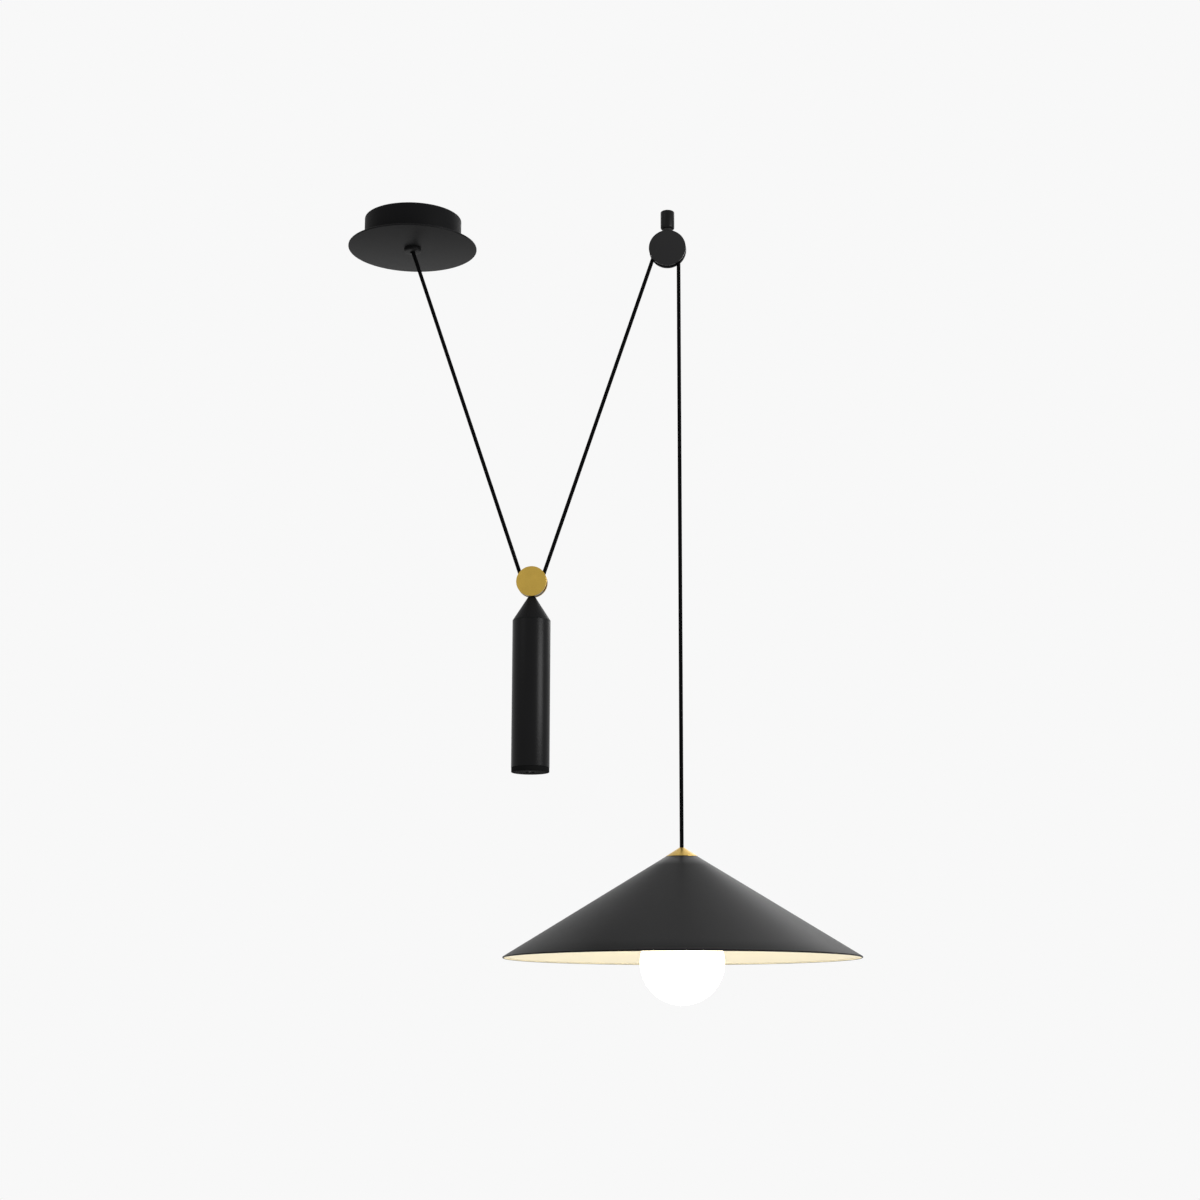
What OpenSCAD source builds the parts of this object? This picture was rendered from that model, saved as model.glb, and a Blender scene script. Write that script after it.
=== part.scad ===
// Rise and fall pendant: a lamp and a counterweight hang from one cord over two grooved wheels.
// The origin is the centre of the canopy on the ceiling. +Z is up, +X runs towards the ceiling
// pulley, and the front is -Y. Everything is drawn in millimetres, at the height it rests at.

/* [Layout] */
// Distance from the canopy's centre to the ceiling pulley's axle
pulley_spacing = 308; // [280:1:340]
// Drop from the ceiling to the counterweight's axle
counterweight_drop = 450; // [400:1:480]
// Drop from the ceiling to the tip of the shade's cap
lamp_drop = 759; // [740:1:900]

/* [Cord] */
// Diameter of the textile cord
cord_d = 4.5; // [4:0.1:5]
// Radius of the cord's bend in the canopy's outlet
outlet_bend_r = 12; // [10:0.5:16]
// Radius of the cord's bend above its grip in the canopy
tail_bend_r = 10; // [9:0.5:11]
// Diameter of one insulated core
core_d = 1.4; // [1.2:0.1:1.5]

/* [Canopy] */
// Diameter of the drum
drum_d = 116; // [108:1:130]
// Height of the drum
drum_h = 34; // [32:1:45]
// Thickness of the drum's sheet
drum_t = 1.2; // [0.8:0.1:2]
// Diameter of the plate below the drum
plate_d = 154; // [140:1:180]
// Thickness of the plate
plate_t = 2; // [1.5:0.1:3]
// Diameter of the cord outlet
outlet_d = 20; // [18:1:26]
// Height of the cord outlet below the plate
outlet_h = 4; // [3:0.5:6]
// Diameter of the outlet's threaded stub, and of the shade's nipple
pipe_d = 10; // [9:0.5:11]
// Width of a hexagon nut on that thread, across its flats
pipe_nut_af = 15; // [14:0.5:17]
// Height of a nut on that thread
pipe_nut_h = 4; // [3:0.5:5]
// Diameter of the collar that grips the cord
grip_d = 16; // [14:0.5:20]
// Height of the collar
grip_h = 11.5; // [10:0.5:13]

/* [Ceiling bracket] */
// Thickness of the sheet
bracket_t = 2; // [1.5:0.1:2.5]
// Diameter of the round middle
bracket_d = 84; // [80:1:92]
// Width of the two arms
arm_w = 18; // [14:1:24]
// Height of the turned-down ears
ear_h = 14; // [12:0.5:20]
// Distance between the two screw slots
slot_spacing = 64; // [60:1:68]
// Width of a slot
slot_w = 5; // [4:0.5:6]
// Length of a slot, end to end
slot_l = 12; // [8:0.5:13]
// Diameter of the hole for the supply cable
cable_hole_d = 20; // [12:1:22]
// Distance of that hole from the middle
cable_hole_off = 24; // [22:1:26]
// Diameter of the screws in the ears and in the grip, and of the earth screw
m4_d = 4; // [3.5:0.1:4.5]
// Length of the screws in the ears
side_screw_l = 8; // [6:0.5:10]

/* [Terminal block] */
// Distance between two poles
pole_pitch = 8; // [7.5:0.1:10]
// Size of the block along its wires
block_l = 15; // [13:0.5:16]
// Height of the block
block_h = 12; // [10.5:0.5:14]
// Distance from the middle to the block
block_off = 19; // [18.5:0.5:21]

/* [Ceiling pulley] */
// Diameter of the stem
stem_d = 16.5; // [14:0.5:20]
// Length of the stem
stem_l = 22.5; // [21:0.5:30]
// Diameter of the threaded hole in the stem's top
stem_hole_d = 6.8; // [6:0.1:8]
// Depth of that hole
stem_hole_l = 10; // [8:0.5:11]
// Diameter of the neck below the stem
neck_d = 12; // [10:0.5:14]
// Height of the neck that shows
neck_h = 2.5; // [2:0.5:6]
// Diameter of the stud that the stem screws onto
stud_d = 6; // [5:0.5:7]
// Length of the stud
stud_l = 9; // [7:0.5:10]
// Diameter of the two black cheeks
ceiling_cheek_d = 44; // [42:0.5:60]
// Radius at which the cord's middle runs on the wheel
ceiling_pitch_r = 13; // [12:0.25:14]
// Width of the tongue between the cheeks
tongue_w = 14; // [13:0.5:18]

/* [Counterweight] */
// Diameter of the two brass cheeks
brass_cheek_d = 35.4; // [34.5:0.1:40]
// Radius at which the cord's middle runs on the wheel
brass_pitch_r = 10; // [9.5:0.1:10.2]
// Diameter of the nose's tip
nose_tip_d = 8.4; // [7.5:0.1:12]
// Height of the nose
nose_h = 28.2; // [20:0.1:40]
// Diameter of the weight
weight_d = 44; // [40:0.5:48]
// Length of the tube
weight_l = 170.6; // [150:0.1:200]
// Thickness of the tube's wall
weight_wall = 2; // [1.5:0.1:3]
// Height of the cap below the tube
bottom_cap_h = 5.4; // [5:0.1:8]
// Depth that the nose and the cap reach into the tube
spigot_h = 5; // [4:0.5:8]
// Number of ballast slugs
slug_count = 3; // [1:1:5]
// Diameter of the tie rod
rod_d = 4; // [3:0.1:4]

/* [Pulley blocks] */
// Thickness of a cheek
cheek_t = 2.4; // [2.2:0.1:3]
// Thickness of a wheel
wheel_t = 6.4; // [6.1:0.1:7]
// Gap between a wheel and each cheek
wheel_gap = 0.4; // [0.3:0.05:0.6]
// Diameter of an axle
axle_d = 5; // [4.5:0.1:5.2]
// Outer diameter of a bush
bush_d = 7; // [6.8:0.1:7.4]
// Diameter of the screws through a block
block_screw_d = 2.5; // [2:0.1:2.6]

/* [Lamp] */
// Diameter of the shade
shade_d = 400; // [360:1:440]
// Height of the shade
shade_h = 113; // [100:1:130]
// Thickness of the shade's sheet
shade_t = 0.8; // [0.7:0.1:1.5]
// Radius of the bead at the shade's rim
bead_r = 0.9; // [0.8:0.1:1.5]
// Diameter of the brass cap's foot
cap_d = 36; // [32:0.5:44]
// Diameter of the brass cap's tip
cap_tip_d = 6; // [5.8:0.1:9]
// Height of the brass cap
cap_h = 10; // [9:0.5:14]
// Diameter of the lampholder
holder_d = 41; // [40:0.5:46]
// Diameter of the bulb's globe
globe_d = 94; // [80:0.5:100]
// Thickness of the globe's glass
glass_t = 1.2; // [0.8:0.1:1.6]
// Height of the globe's centre below the shade's foot
globe_low = 4; // [0:0.5:10]
// Diameter of the bulb's screw cap
screw_cap_d = 26; // [25:0.1:26.4]

/* [Fits] */
// Gap between the cord and a groove, a bore or a bend that it lies in
cord_gap = 0.3; // [0.2:0.05:0.5]
// Radial clearance of an axle in its bush
running_gap = 0.05; // [0.02:0.01:0.1]
// Radial clearance of a screw, a nut or a spigot in its seat
seat_gap = 0.1; // [0.05:0.05:0.2]
// Gap between the ballast slugs and the tube's bore
slug_side_gap = 0.7; // [0.5:0.1:2]

/* [Hidden] */
$fn = 96;
eps = 0.01;

// Colours
black_paint = [0.10, 0.10, 0.10];
cord_black = [0.02, 0.02, 0.02];
brass = [0.72, 0.58, 0.27];
steel = [0.62, 0.63, 0.65];
opal = [0.97, 0.97, 0.95];
plastic_black = [0.08, 0.08, 0.09];
plastic_white = [0.88, 0.88, 0.86];

// Heights in the canopy
cord_r = cord_d / 2;
plate_top = -drum_h;
plate_bottom = plate_top - plate_t;
drum_floor = plate_top + drum_t;
outlet_bottom = plate_bottom - outlet_h;
nut_top = drum_floor + pipe_nut_h;
grip_bottom = nut_top + cord_gap;
stub_top = grip_bottom + 4;
grip_top = grip_bottom + grip_h;
grip_screw_z = stub_top + (grip_top - stub_top) / 2;
tail_bend_z = grip_top + 0.5;
tail_z = tail_bend_z + tail_bend_r;

// The ceiling pulley and the lamp
ceiling_axle_z = -(stem_l + neck_h + ceiling_cheek_d / 2);
lamp_x = pulley_spacing + ceiling_pitch_r;
cheek_gap = wheel_t + 2 * wheel_gap;
cheek_out = cheek_gap / 2 + cheek_t;
groove_r = cord_r + cord_gap;

// The cord's two legs lean alike. It leaves the canopy from a point in the outlet, and runs
// straight to the wheels that it touches, so its lean follows from where the wheels are.
outlet_pivot_z = plate_bottom - outlet_h / 2 - 0.1;
counterweight_z = -counterweight_drop;
leg_rise = outlet_pivot_z + ceiling_axle_z - 2 * counterweight_z;
leg_offset = 2 * brass_pitch_r + ceiling_pitch_r;
lean = acos(leg_offset / norm([pulley_spacing, leg_rise])) - atan2(leg_rise, pulley_spacing);
counterweight_x = (brass_pitch_r + (outlet_pivot_z - counterweight_z) * sin(lean)) / cos(lean);
outlet_bend_z = outlet_pivot_z + outlet_bend_r * tan(lean / 2);

// Heights of the counterweight
block_top_r = brass_pitch_r + cord_r + 0.95;
block_low_r = brass_cheek_d / 2 - 0.3;
nose_top = counterweight_z - brass_cheek_d / 2 - seat_gap;
tube_top = nose_top - nose_h;
tube_bottom = tube_top - weight_l;
weight_bottom = tube_bottom - bottom_cap_h;
tube_bore_d = weight_d - 2 * weight_wall;
spigot_r = tube_bore_d / 2 - seat_gap;
slug_gap = 0.2;
slug_d = tube_bore_d - 2 * slug_side_gap;
slug_space = weight_l - 2 * spigot_h - slug_gap;
slug_l = slug_space / slug_count;
rod_bore_d = rod_d + 2 * seat_gap;
rod_nut_af = 7;
rod_nut_h = 3.2;
rod_recess_h = 4.4;
rod_top = counterweight_z - block_top_r - 0.6;

// Heights of the lamp
cap_top = -lamp_drop;
shade_top = cap_top - cap_h;
shade_foot = shade_top - shade_h;
nipple_top = cap_top - cap_h / 2 - 0.5;
nipple_bore_d = cord_d + 1.5;
washer_t = 1;
washer_bottom = shade_top - shade_t - washer_t;
shade_nut_bottom = washer_bottom - pipe_nut_h;
holder_top = shade_nut_bottom - 0.4;
holder_neck_h = 4.6;
holder_neck_z = holder_top - holder_neck_h;
nipple_bottom = holder_neck_z - 0.7;
ferrule_h = 5;
ferrule_bottom = nipple_bottom - 0.3 - ferrule_h;
holder_joint = holder_top - 19;
holder_r = holder_d / 2;
holder_wall = 2;
core_h = 6;
core_top = holder_joint + 4.2;
core_bottom = core_top - core_h;
flange_t = 0.6;
shell_h = 26;
shell_r = screw_cap_d / 2 + 0.5;
shell_t = 0.6;
holder_bottom = core_bottom - 30;

// Heights of the bulb
globe_r = globe_d / 2;
globe_z = shade_foot - globe_low;
bulb_top = core_bottom - flange_t - 0.4;
contact_h = 2;
insulator_h = 3;
screw_cap_top = bulb_top - contact_h - insulator_h;
glass_top = screw_cap_top - 23.5;
neck_r = screw_cap_d / 2 + 1.5;
fillet_r = 24;
fillet_z = globe_z + sqrt(pow(globe_r + fillet_r, 2) - pow(neck_r + fillet_r, 2));
fillet_turn = atan2(fillet_z - globe_z, neck_r + fillet_r);

// Places of the counterweight's two block screws and of the ceiling block's two
brass_screw_turn = 33;
brass_screw_r = (block_top_r + block_low_r) / 2 - 0.2;
brass_screws = [for (s = [-1, 1])
    brass_screw_r * [s * sin(brass_screw_turn), -cos(brass_screw_turn)]];
tongue_low_r = ceiling_pitch_r + cord_r + 0.75;
ceiling_screws = [for (s = [-1, 1])
    [s * tongue_w / 4, (tongue_low_r + ceiling_cheek_d / 2) / 2 - 0.2]];

// ---------------------------------------------------------------- the cord

cord_sides = 10;
lead_sides = 8;

function unit(v) = v / norm(v);

// Stations are a point and a direction each: n steps along a line, then round an arc in XZ.
function along(a, b, n) = [for (i = [0:n]) [a + (b - a) * i / n, unit(b - a)]];
function on_circle(c, r, turn) = c + r * [cos(turn), 0, sin(turn)];
function round_xz(c, r, from, to, n) = [for (i = [0:n])
    let (turn = from + (to - from) * i / n, way = sign(to - from))
    [on_circle(c, r, turn), way * [-sin(turn), 0, cos(turn)]]];
function after(list, k) = [for (i = [k:len(list) - 1]) list[i]];

// The side direction at each station, carried along the route without twisting
function carried(st, side, i = 0) = i == len(st) ? [] :
    let (t = st[i][1], m = unit(side - (side * t) * t))
    concat([m], carried(st, m, i + 1));

// Round tube along the stations, closed by a flat end square to each end's direction
module tube(st, d, sides, side = [0, 1, 0]) {
    n = len(st);
    m = carried(st, side);
    points = [for (i = [0:n - 1], k = [0:sides - 1])
        let (a = 360 * k / sides)
        st[i][0] + d / 2 * (cos(a) * m[i] + sin(a) * cross(st[i][1], m[i]))];
    wall = [for (i = [0:n - 2], k = [0:sides - 1], half = [0, 1])
        let (a = i * sides + k, b = i * sides + (k + 1) % sides)
        half == 0 ? [a, a + sides, b + sides] : [a, b + sides, b]];
    ends = [
        [for (k = [0:sides - 1]) k],
        [for (k = [sides - 1:-1:0]) (n - 1) * sides + k]
    ];
    polyhedron(points = points, faces = concat(wall, ends), convexity = 6);
}

// Directions at a route's own points: halfway between the two runs that meet there
function eased(p) = [for (i = [0:len(p) - 1])
    [p[i], unit(unit(p[min(i + 1, len(p) - 1)] - p[min(i, len(p) - 2)])
        + unit(p[max(i, 1)] - p[max(i - 1, 0)]))]];

// The cord's own corners: where it leaves the outlet, and where it meets and leaves each wheel
outlet_end = on_circle([outlet_bend_r, 0, outlet_bend_z], outlet_bend_r, 180 + lean);
counterweight_axis = [counterweight_x, 0, counterweight_z];
ceiling_axis = [pulley_spacing, 0, ceiling_axle_z];
leg_foot_left = on_circle(counterweight_axis, brass_pitch_r, 180 + lean);
leg_foot_right = on_circle(counterweight_axis, brass_pitch_r, 360 - lean);
leg_head_right = on_circle(ceiling_axis, ceiling_pitch_r, 180 - lean);
drop_head = on_circle(ceiling_axis, ceiling_pitch_r, 0);
drop_foot = [lamp_x, 0, cap_top];

// In the canopy: from the sheath's end over the grip, straight down, and into the outlet's bend
sheath_end_y = tail_bend_r + 3;
tail_stations = concat(
    along([0, sheath_end_y, tail_z], [0, tail_bend_r, tail_z], 1),
    [for (i = [1:6]) let (a = 15 * i)
        [[0, tail_bend_r * (1 - sin(a)), tail_z - tail_bend_r * (1 - cos(a))],
         [0, -cos(a), -sin(a)]]],
    along([0, 0, tail_bend_z - 1], [0, 0, outlet_bend_z], 1),
    after(round_xz([outlet_bend_r, 0, outlet_bend_z], outlet_bend_r, 180, 180 + lean, 3), 1)
);

module cord_tail()
    color(cord_black) tube(tail_stations, cord_d, cord_sides, [0, 0, 1]);

module cord_left_leg()
    color(cord_black) tube(along(outlet_end, leg_foot_left, 8), cord_d, cord_sides);

module cord_counterweight_wrap()
    color(cord_black) tube(
        round_xz(counterweight_axis, brass_pitch_r, 180 + lean, 360 - lean, 12),
        cord_d, cord_sides);

module cord_right_leg()
    color(cord_black) tube(along(leg_foot_right, leg_head_right, 8), cord_d, cord_sides);

module cord_ceiling_wrap()
    color(cord_black) tube(
        round_xz(ceiling_axis, ceiling_pitch_r, 180 - lean, 0, 14), cord_d, cord_sides);

module cord_drop()
    color(cord_black) tube(along(drop_head, drop_foot, 12), cord_d, cord_sides);

module cord_lamp_end()
    color(cord_black) tube(
        along(drop_foot, [lamp_x, 0, ferrule_bottom], 2), cord_d, cord_sides);

// ---------------------------------------------------------------- shared shapes

// Solid of revolution round a vertical axis at x
module turned(points, x = 0)
    translate([x, 0, 0]) rotate_extrude() polygon(points);

// Drawing plane of a pulley: X stays, Y is up, and the thickness grows towards the front
module facing_front(axis) translate(axis) rotate([90, 0, 0]) children();

// Hexagon nut with its foot at z
module hex_nut(af, h, bore, z, x = 0)
    translate([x, 0, z]) difference() {
        cylinder(d = af / cos(30), h = h, $fn = 6);
        translate([0, 0, -1]) cylinder(d = bore, h = h + 2);
    }

// Disc with a small chamfer round its outer edge, from z = 0 up
module cheek_disc(d, chamfer = 0.3)
    rotate_extrude() polygon([
        [0, 0], [d / 2, 0], [d / 2, cheek_t - chamfer], [d / 2 - chamfer, cheek_t], [0, cheek_t]
    ]);

// Front cheek: plain outside, with blind threads inside for the axle and the block's screws
module front_cheek(d, screws)
    difference() {
        translate([0, 0, cheek_gap / 2]) cheek_disc(d);
        translate([0, 0, cheek_gap / 2 - 1]) cylinder(d = axle_d - 1, h = 1 + cheek_t * 0.7);
        for (p = screws)
            translate([p[0], p[1], cheek_gap / 2 - 1])
                cylinder(d = block_screw_d, h = 1 + cheek_t * 0.7);
    }

// Rear cheek: bored through for the axle and the block's screws, whose heads are sunk
module rear_cheek(d, screws)
    mirror([0, 0, 1]) difference() {
        translate([0, 0, cheek_gap / 2]) cheek_disc(d);
        cylinder(d = axle_d, h = cheek_out + 1);
        for (p = screws) translate([p[0], p[1], 0]) {
            cylinder(d = block_screw_d, h = cheek_out + 1);
            translate([0, 0, cheek_out - screw_head_h])
                cylinder(d = screw_head_d, h = screw_head_h + 1);
        }
    }

// Shoulder screw: its head behind the rear cheek, its tip threaded into the front one
axle_head_d = 9;
axle_head_h = 1.6;
module axle_screw()
    difference() {
        union() {
            translate([0, 0, -cheek_out]) cylinder(d = axle_d, h = cheek_out + cheek_gap / 2);
            translate([0, 0, cheek_gap / 2 - eps])
                cylinder(d = axle_d - 1, h = cheek_t * 0.7 + eps);
            translate([0, 0, -cheek_out - axle_head_h])
                cylinder(d = axle_head_d, h = axle_head_h);
        }
        translate([-axle_head_d, -0.5, -cheek_out - axle_head_h - 1])
            cube([2 * axle_head_d, 1, 1.8]);
    }

// Screws through a block, from the rear cheek into the front one
screw_head_d = 3.6;
screw_head_h = 1.2;
module block_screws(screws)
    for (p = screws) translate([p[0], p[1], 0]) difference() {
        union() {
            translate([0, 0, -cheek_out + screw_head_h - eps])
                cylinder(d = block_screw_d, h = cheek_gap + cheek_t * 1.7 - screw_head_h + eps);
            translate([0, 0, -cheek_out]) cylinder(d = screw_head_d, h = screw_head_h);
        }
        translate([0, 0, -cheek_out - 1]) cylinder(d = 1.6, h = 1.8, $fn = 6);
    }

// Wheel with a round groove whose middle is the cord's
module grooved_wheel(pitch_r)
    rotate_extrude() difference() {
        translate([bush_d / 2, -wheel_t / 2]) square([pitch_r + 2 - bush_d / 2, wheel_t]);
        translate([pitch_r, 0]) circle(r = groove_r, $fn = 48);
        translate([pitch_r, -groove_r]) square([3, 2 * groove_r]);
    }

module bush()
    translate([0, 0, -wheel_t / 2]) difference() {
        cylinder(d = bush_d, h = wheel_t);
        translate([0, 0, -1]) cylinder(d = axle_d + 2 * running_gap, h = wheel_t + 2);
    }

// ---------------------------------------------------------------- canopy

side_screw_z = -(bracket_t + (ear_h - bracket_t) / 2);
drum_bore_r = drum_d / 2 - drum_t;
ear_out_r = drum_bore_r - 0.2;
pipe_hole_d = pipe_d + 2 * seat_gap;
side_screw_out = drum_d / 2 - 0.1;

module canopy_drum()
    color(black_paint) difference() {
        turned([
            [drum_d / 2, 0], [drum_d / 2, plate_top + 1], [drum_d / 2 - 1, plate_top],
            [pipe_hole_d / 2, plate_top], [pipe_hole_d / 2, drum_floor],
            [drum_bore_r - 0.6, drum_floor], [drum_bore_r, drum_floor + 0.6], [drum_bore_r, 0]
        ]);
        translate([-drum_d, 0, side_screw_z]) rotate([0, 90, 0])
            cylinder(d = m4_d + 2 * seat_gap, h = 2 * drum_d);
    }

module canopy_plate()
    color(black_paint) turned([
        [pipe_hole_d / 2, plate_top], [plate_d / 2 - 0.5, plate_top],
        [plate_d / 2, plate_top - 0.5], [plate_d / 2, plate_bottom + 0.5],
        [plate_d / 2 - 0.5, plate_bottom], [pipe_hole_d / 2, plate_bottom]
    ]);

// The outlet's mouth opens along the cord's bend
mouth_r = outlet_bend_r - cord_r - cord_gap;
mouth_turn = asin(min(1, (outlet_bend_z - outlet_bottom) / mouth_r));
module outlet_bush()
    color(plastic_black) turned(concat(
        [[cord_r + cord_gap, stub_top], [pipe_d / 2, stub_top], [pipe_d / 2, plate_bottom],
         [outlet_d / 2, plate_bottom], [outlet_d / 2, outlet_bottom + 0.8],
         [outlet_d / 2 - 0.8, outlet_bottom]],
        [for (i = [6:-1:0]) let (a = mouth_turn * i / 6)
            [outlet_bend_r - mouth_r * cos(a), outlet_bend_z - mouth_r * sin(a)]]
    ));

module outlet_nut()
    color(steel) hex_nut(pipe_nut_af, pipe_nut_h, pipe_hole_d, drum_floor);

module cord_grip()
    color(brass) difference() {
        translate([0, 0, grip_bottom]) cylinder(d = grip_d, h = grip_h);
        translate([0, 0, grip_bottom - 1])
            cylinder(d = pipe_hole_d, h = stub_top - grip_bottom + 1 + seat_gap);
        translate([0, 0, grip_bottom]) cylinder(d = cord_d + 2 * seat_gap, h = grip_h + 1);
        translate([0, grip_d, grip_screw_z]) rotate([90, 0, 0])
            cylinder(d = m4_d, h = 2 * grip_d);
    }

module cord_grip_screws()
    color(steel) for (s = [-1, 1])
        translate([0, s * grip_d / 2, grip_screw_z]) rotate([s * 90, 0, 0]) difference() {
            cylinder(d = m4_d, h = (grip_d - cord_d) / 2 - seat_gap);
            translate([0, 0, -1]) cylinder(d = 2.2, h = 2.6, $fn = 6);
        }

module ceiling_bracket()
    color(steel) difference() {
        intersection() {
            union() {
                translate([0, 0, -bracket_t]) cylinder(d = bracket_d, h = bracket_t);
                translate([-drum_d / 2, -arm_w / 2, -bracket_t]) cube([drum_d, arm_w, bracket_t]);
                for (s = [0, 1]) mirror([s, 0, 0])
                    translate([ear_out_r - bracket_t, -arm_w / 2, -ear_h])
                        cube([bracket_t, arm_w, ear_h]);
            }
            translate([0, 0, -ear_h - 1]) cylinder(r = ear_out_r, h = ear_h + 2);
        }
        for (s = [-1, 1]) translate([s * slot_spacing / 2, 0, -bracket_t - 1])
            slot_cut(slot_l, slot_w, bracket_t + 2);
        translate([0, -cable_hole_off, -bracket_t - 1])
            cylinder(d = cable_hole_d, h = bracket_t + 2);
        translate([-drum_d, 0, side_screw_z]) rotate([0, 90, 0])
            cylinder(d = m4_d, h = 2 * drum_d);
        translate([earth_at[0], earth_at[1], -bracket_t - 1])
            cylinder(d = m4_d, h = bracket_t + 2);
        for (x = fixing_x) translate([x, fixing_y, -bracket_t - 1])
            cylinder(d = fixing_d, h = bracket_t + 2);
    }

// Slot along X with round ends
module slot_cut(l, w, h) {
    for (s = [-1, 1]) translate([s * (l - w) / 2, 0, 0]) cylinder(d = w, h = h);
    translate([-(l - w) / 2, -w / 2, 0]) cube([l - w, w, h]);
}

module bracket_side_screws()
    color(steel) for (s = [0, 1]) mirror([s, 0, 0])
        translate([side_screw_out - side_screw_l, 0, side_screw_z]) rotate([0, 90, 0])
            difference() {
                cylinder(d = m4_d, h = side_screw_l);
                translate([0, 0, side_screw_l - 1.8]) cylinder(d = 2.2, h = 3, $fn = 6);
            }

// Terminal block: three poles side by side along X, their wires along Y. Two screws from
// below, between the poles, hold it to the bracket.
pole_count = 3;
block_w = pole_count * pole_pitch + 1;
block_top = -bracket_t;
wire_z = block_top - block_h / 2;
insert_d = 5;
insert_bore = 3;
terminal_screw_d = 2.6;
pole_x = [for (i = [0:pole_count - 1]) (i - (pole_count - 1) / 2) * pole_pitch];
screw_y = [for (s = [-1, 1]) block_off + block_l / 2 + s * block_l / 4];
fixing_x = [for (s = [-1, 1]) s * pole_pitch / 2];
fixing_y = block_off + block_l / 2;
fixing_d = 2.2;
fixing_head_d = 3.8;
fixing_deep = 3;

module terminal_block()
    color(plastic_white) difference() {
        translate([-block_w / 2, block_off, block_top - block_h])
            cube([block_w, block_l, block_h]);
        for (x = pole_x) {
            translate([x, block_off - 1, wire_z]) rotate([-90, 0, 0])
                cylinder(d = insert_d, h = block_l + 2);
            for (y = screw_y) translate([x, y, block_top - block_h - 1])
                cylinder(d = terminal_screw_d + 1.2, h = block_h / 2 + 1);
        }
        for (x = fixing_x) translate([x, fixing_y, block_top - block_h - 1]) {
            cylinder(d = fixing_d, h = block_h + 2);
            cylinder(d = fixing_head_d, h = 1 + fixing_deep);
        }
    }

module terminal_inserts()
    color(brass) for (x = pole_x) difference() {
        translate([x, block_off + 1, wire_z]) rotate([-90, 0, 0])
            cylinder(d = insert_d, h = block_l - 2);
        translate([x, block_off, wire_z]) rotate([-90, 0, 0])
            cylinder(d = insert_bore, h = block_l);
        for (y = screw_y) translate([x, y, block_top - block_h])
            cylinder(d = terminal_screw_d, h = block_h / 2);
    }

module terminal_screws()
    color(steel) {
        for (x = pole_x, y = screw_y) translate([x, y, block_top - block_h + 1.2]) difference() {
            cylinder(d = terminal_screw_d, h = block_h / 2 - 1.2 - core_d / 2 - 0.05);
            translate([-2, -0.3, -1]) cube([4, 0.6, 1.6]);
        }
        for (x = fixing_x) translate([x, fixing_y, block_top - block_h + fixing_deep - 1.4])
            difference() {
                union() {
                    cylinder(d = fixing_head_d - 0.2, h = 1.4);
                    cylinder(d = fixing_d, h = 1.4 + block_h - fixing_deep + bracket_t - 0.3);
                }
                translate([-3, -0.3, -1]) cube([6, 0.6, 1.6]);
            }
    }

// Earth screw: its washer and the lead's ring lie between its head and the bracket
earth_at = [-24, 24];
ring_t = 0.8;
earth_washer_t = 1;
module earth_screw()
    color(brass) translate([earth_at[0], earth_at[1], 0]) {
        difference() {
            union() {
                translate([0, 0, -bracket_t - earth_washer_t - ring_t - 2.6])
                    cylinder(d = 7, h = 2.6);
                translate([0, 0, -bracket_t - earth_washer_t - ring_t - eps])
                    cylinder(d = m4_d, h = bracket_t + earth_washer_t + ring_t - 0.1);
            }
            translate([-5, -0.5, -bracket_t - earth_washer_t - ring_t - 3.6]) cube([10, 1, 2]);
        }
        translate([0, 0, -bracket_t - earth_washer_t]) difference() {
            cylinder(d = 9, h = earth_washer_t);
            translate([0, 0, -1]) cylinder(d = m4_d + 2 * seat_gap, h = earth_washer_t + 2);
        }
    }

// Three cores fan out from the sheath into the block, and a link runs on to the earth screw
link_end_z = -bracket_t - earth_washer_t - ring_t / 2;
earth_link = [
    [pole_x[0], block_off + block_l - 3, wire_z], [pole_x[0], block_off + block_l + 2, wire_z],
    [pole_x[0] - 3, block_off + block_l + 6, wire_z + 0.5],
    [earth_at[0] + 7, earth_at[1] + 17, wire_z + 1.5],
    [earth_at[0] + 2, earth_at[1] + 14, link_end_z - 1.6],
    [earth_at[0], earth_at[1] + 9, link_end_z - 0.4], [earth_at[0], earth_at[1] + 5, link_end_z]
];
module canopy_leads()
    color(plastic_white) {
        for (i = [0:pole_count - 1]) {
            x0 = (i - 1) * (core_d + 0.05);
            run = sheath_end_y;
            gap = block_off + 4 - run;
            tube(eased([
                [x0, run + 0.05, tail_z], [x0, run + 1, tail_z],
                [x0 + (pole_x[i] - x0) * 0.5, run + gap * 0.35, (tail_z + wire_z) / 2],
                [pole_x[i], block_off - 0.5, wire_z], [pole_x[i], block_off + 5, wire_z]
            ]), core_d, lead_sides, [0, 0, 1]);
        }
        tube(eased(earth_link), core_d, lead_sides, [0, 0, 1]);
        translate([earth_at[0], earth_at[1], -bracket_t - earth_washer_t - ring_t])
            difference() {
                union() {
                    cylinder(d = 8, h = ring_t);
                    translate([-1.5, 0, 0]) cube([3, 6, ring_t]);
                }
                translate([0, 0, -1]) cylinder(d = m4_d + 2 * seat_gap, h = ring_t + 2);
            }
    }

// ---------------------------------------------------------------- ceiling pulley

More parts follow.
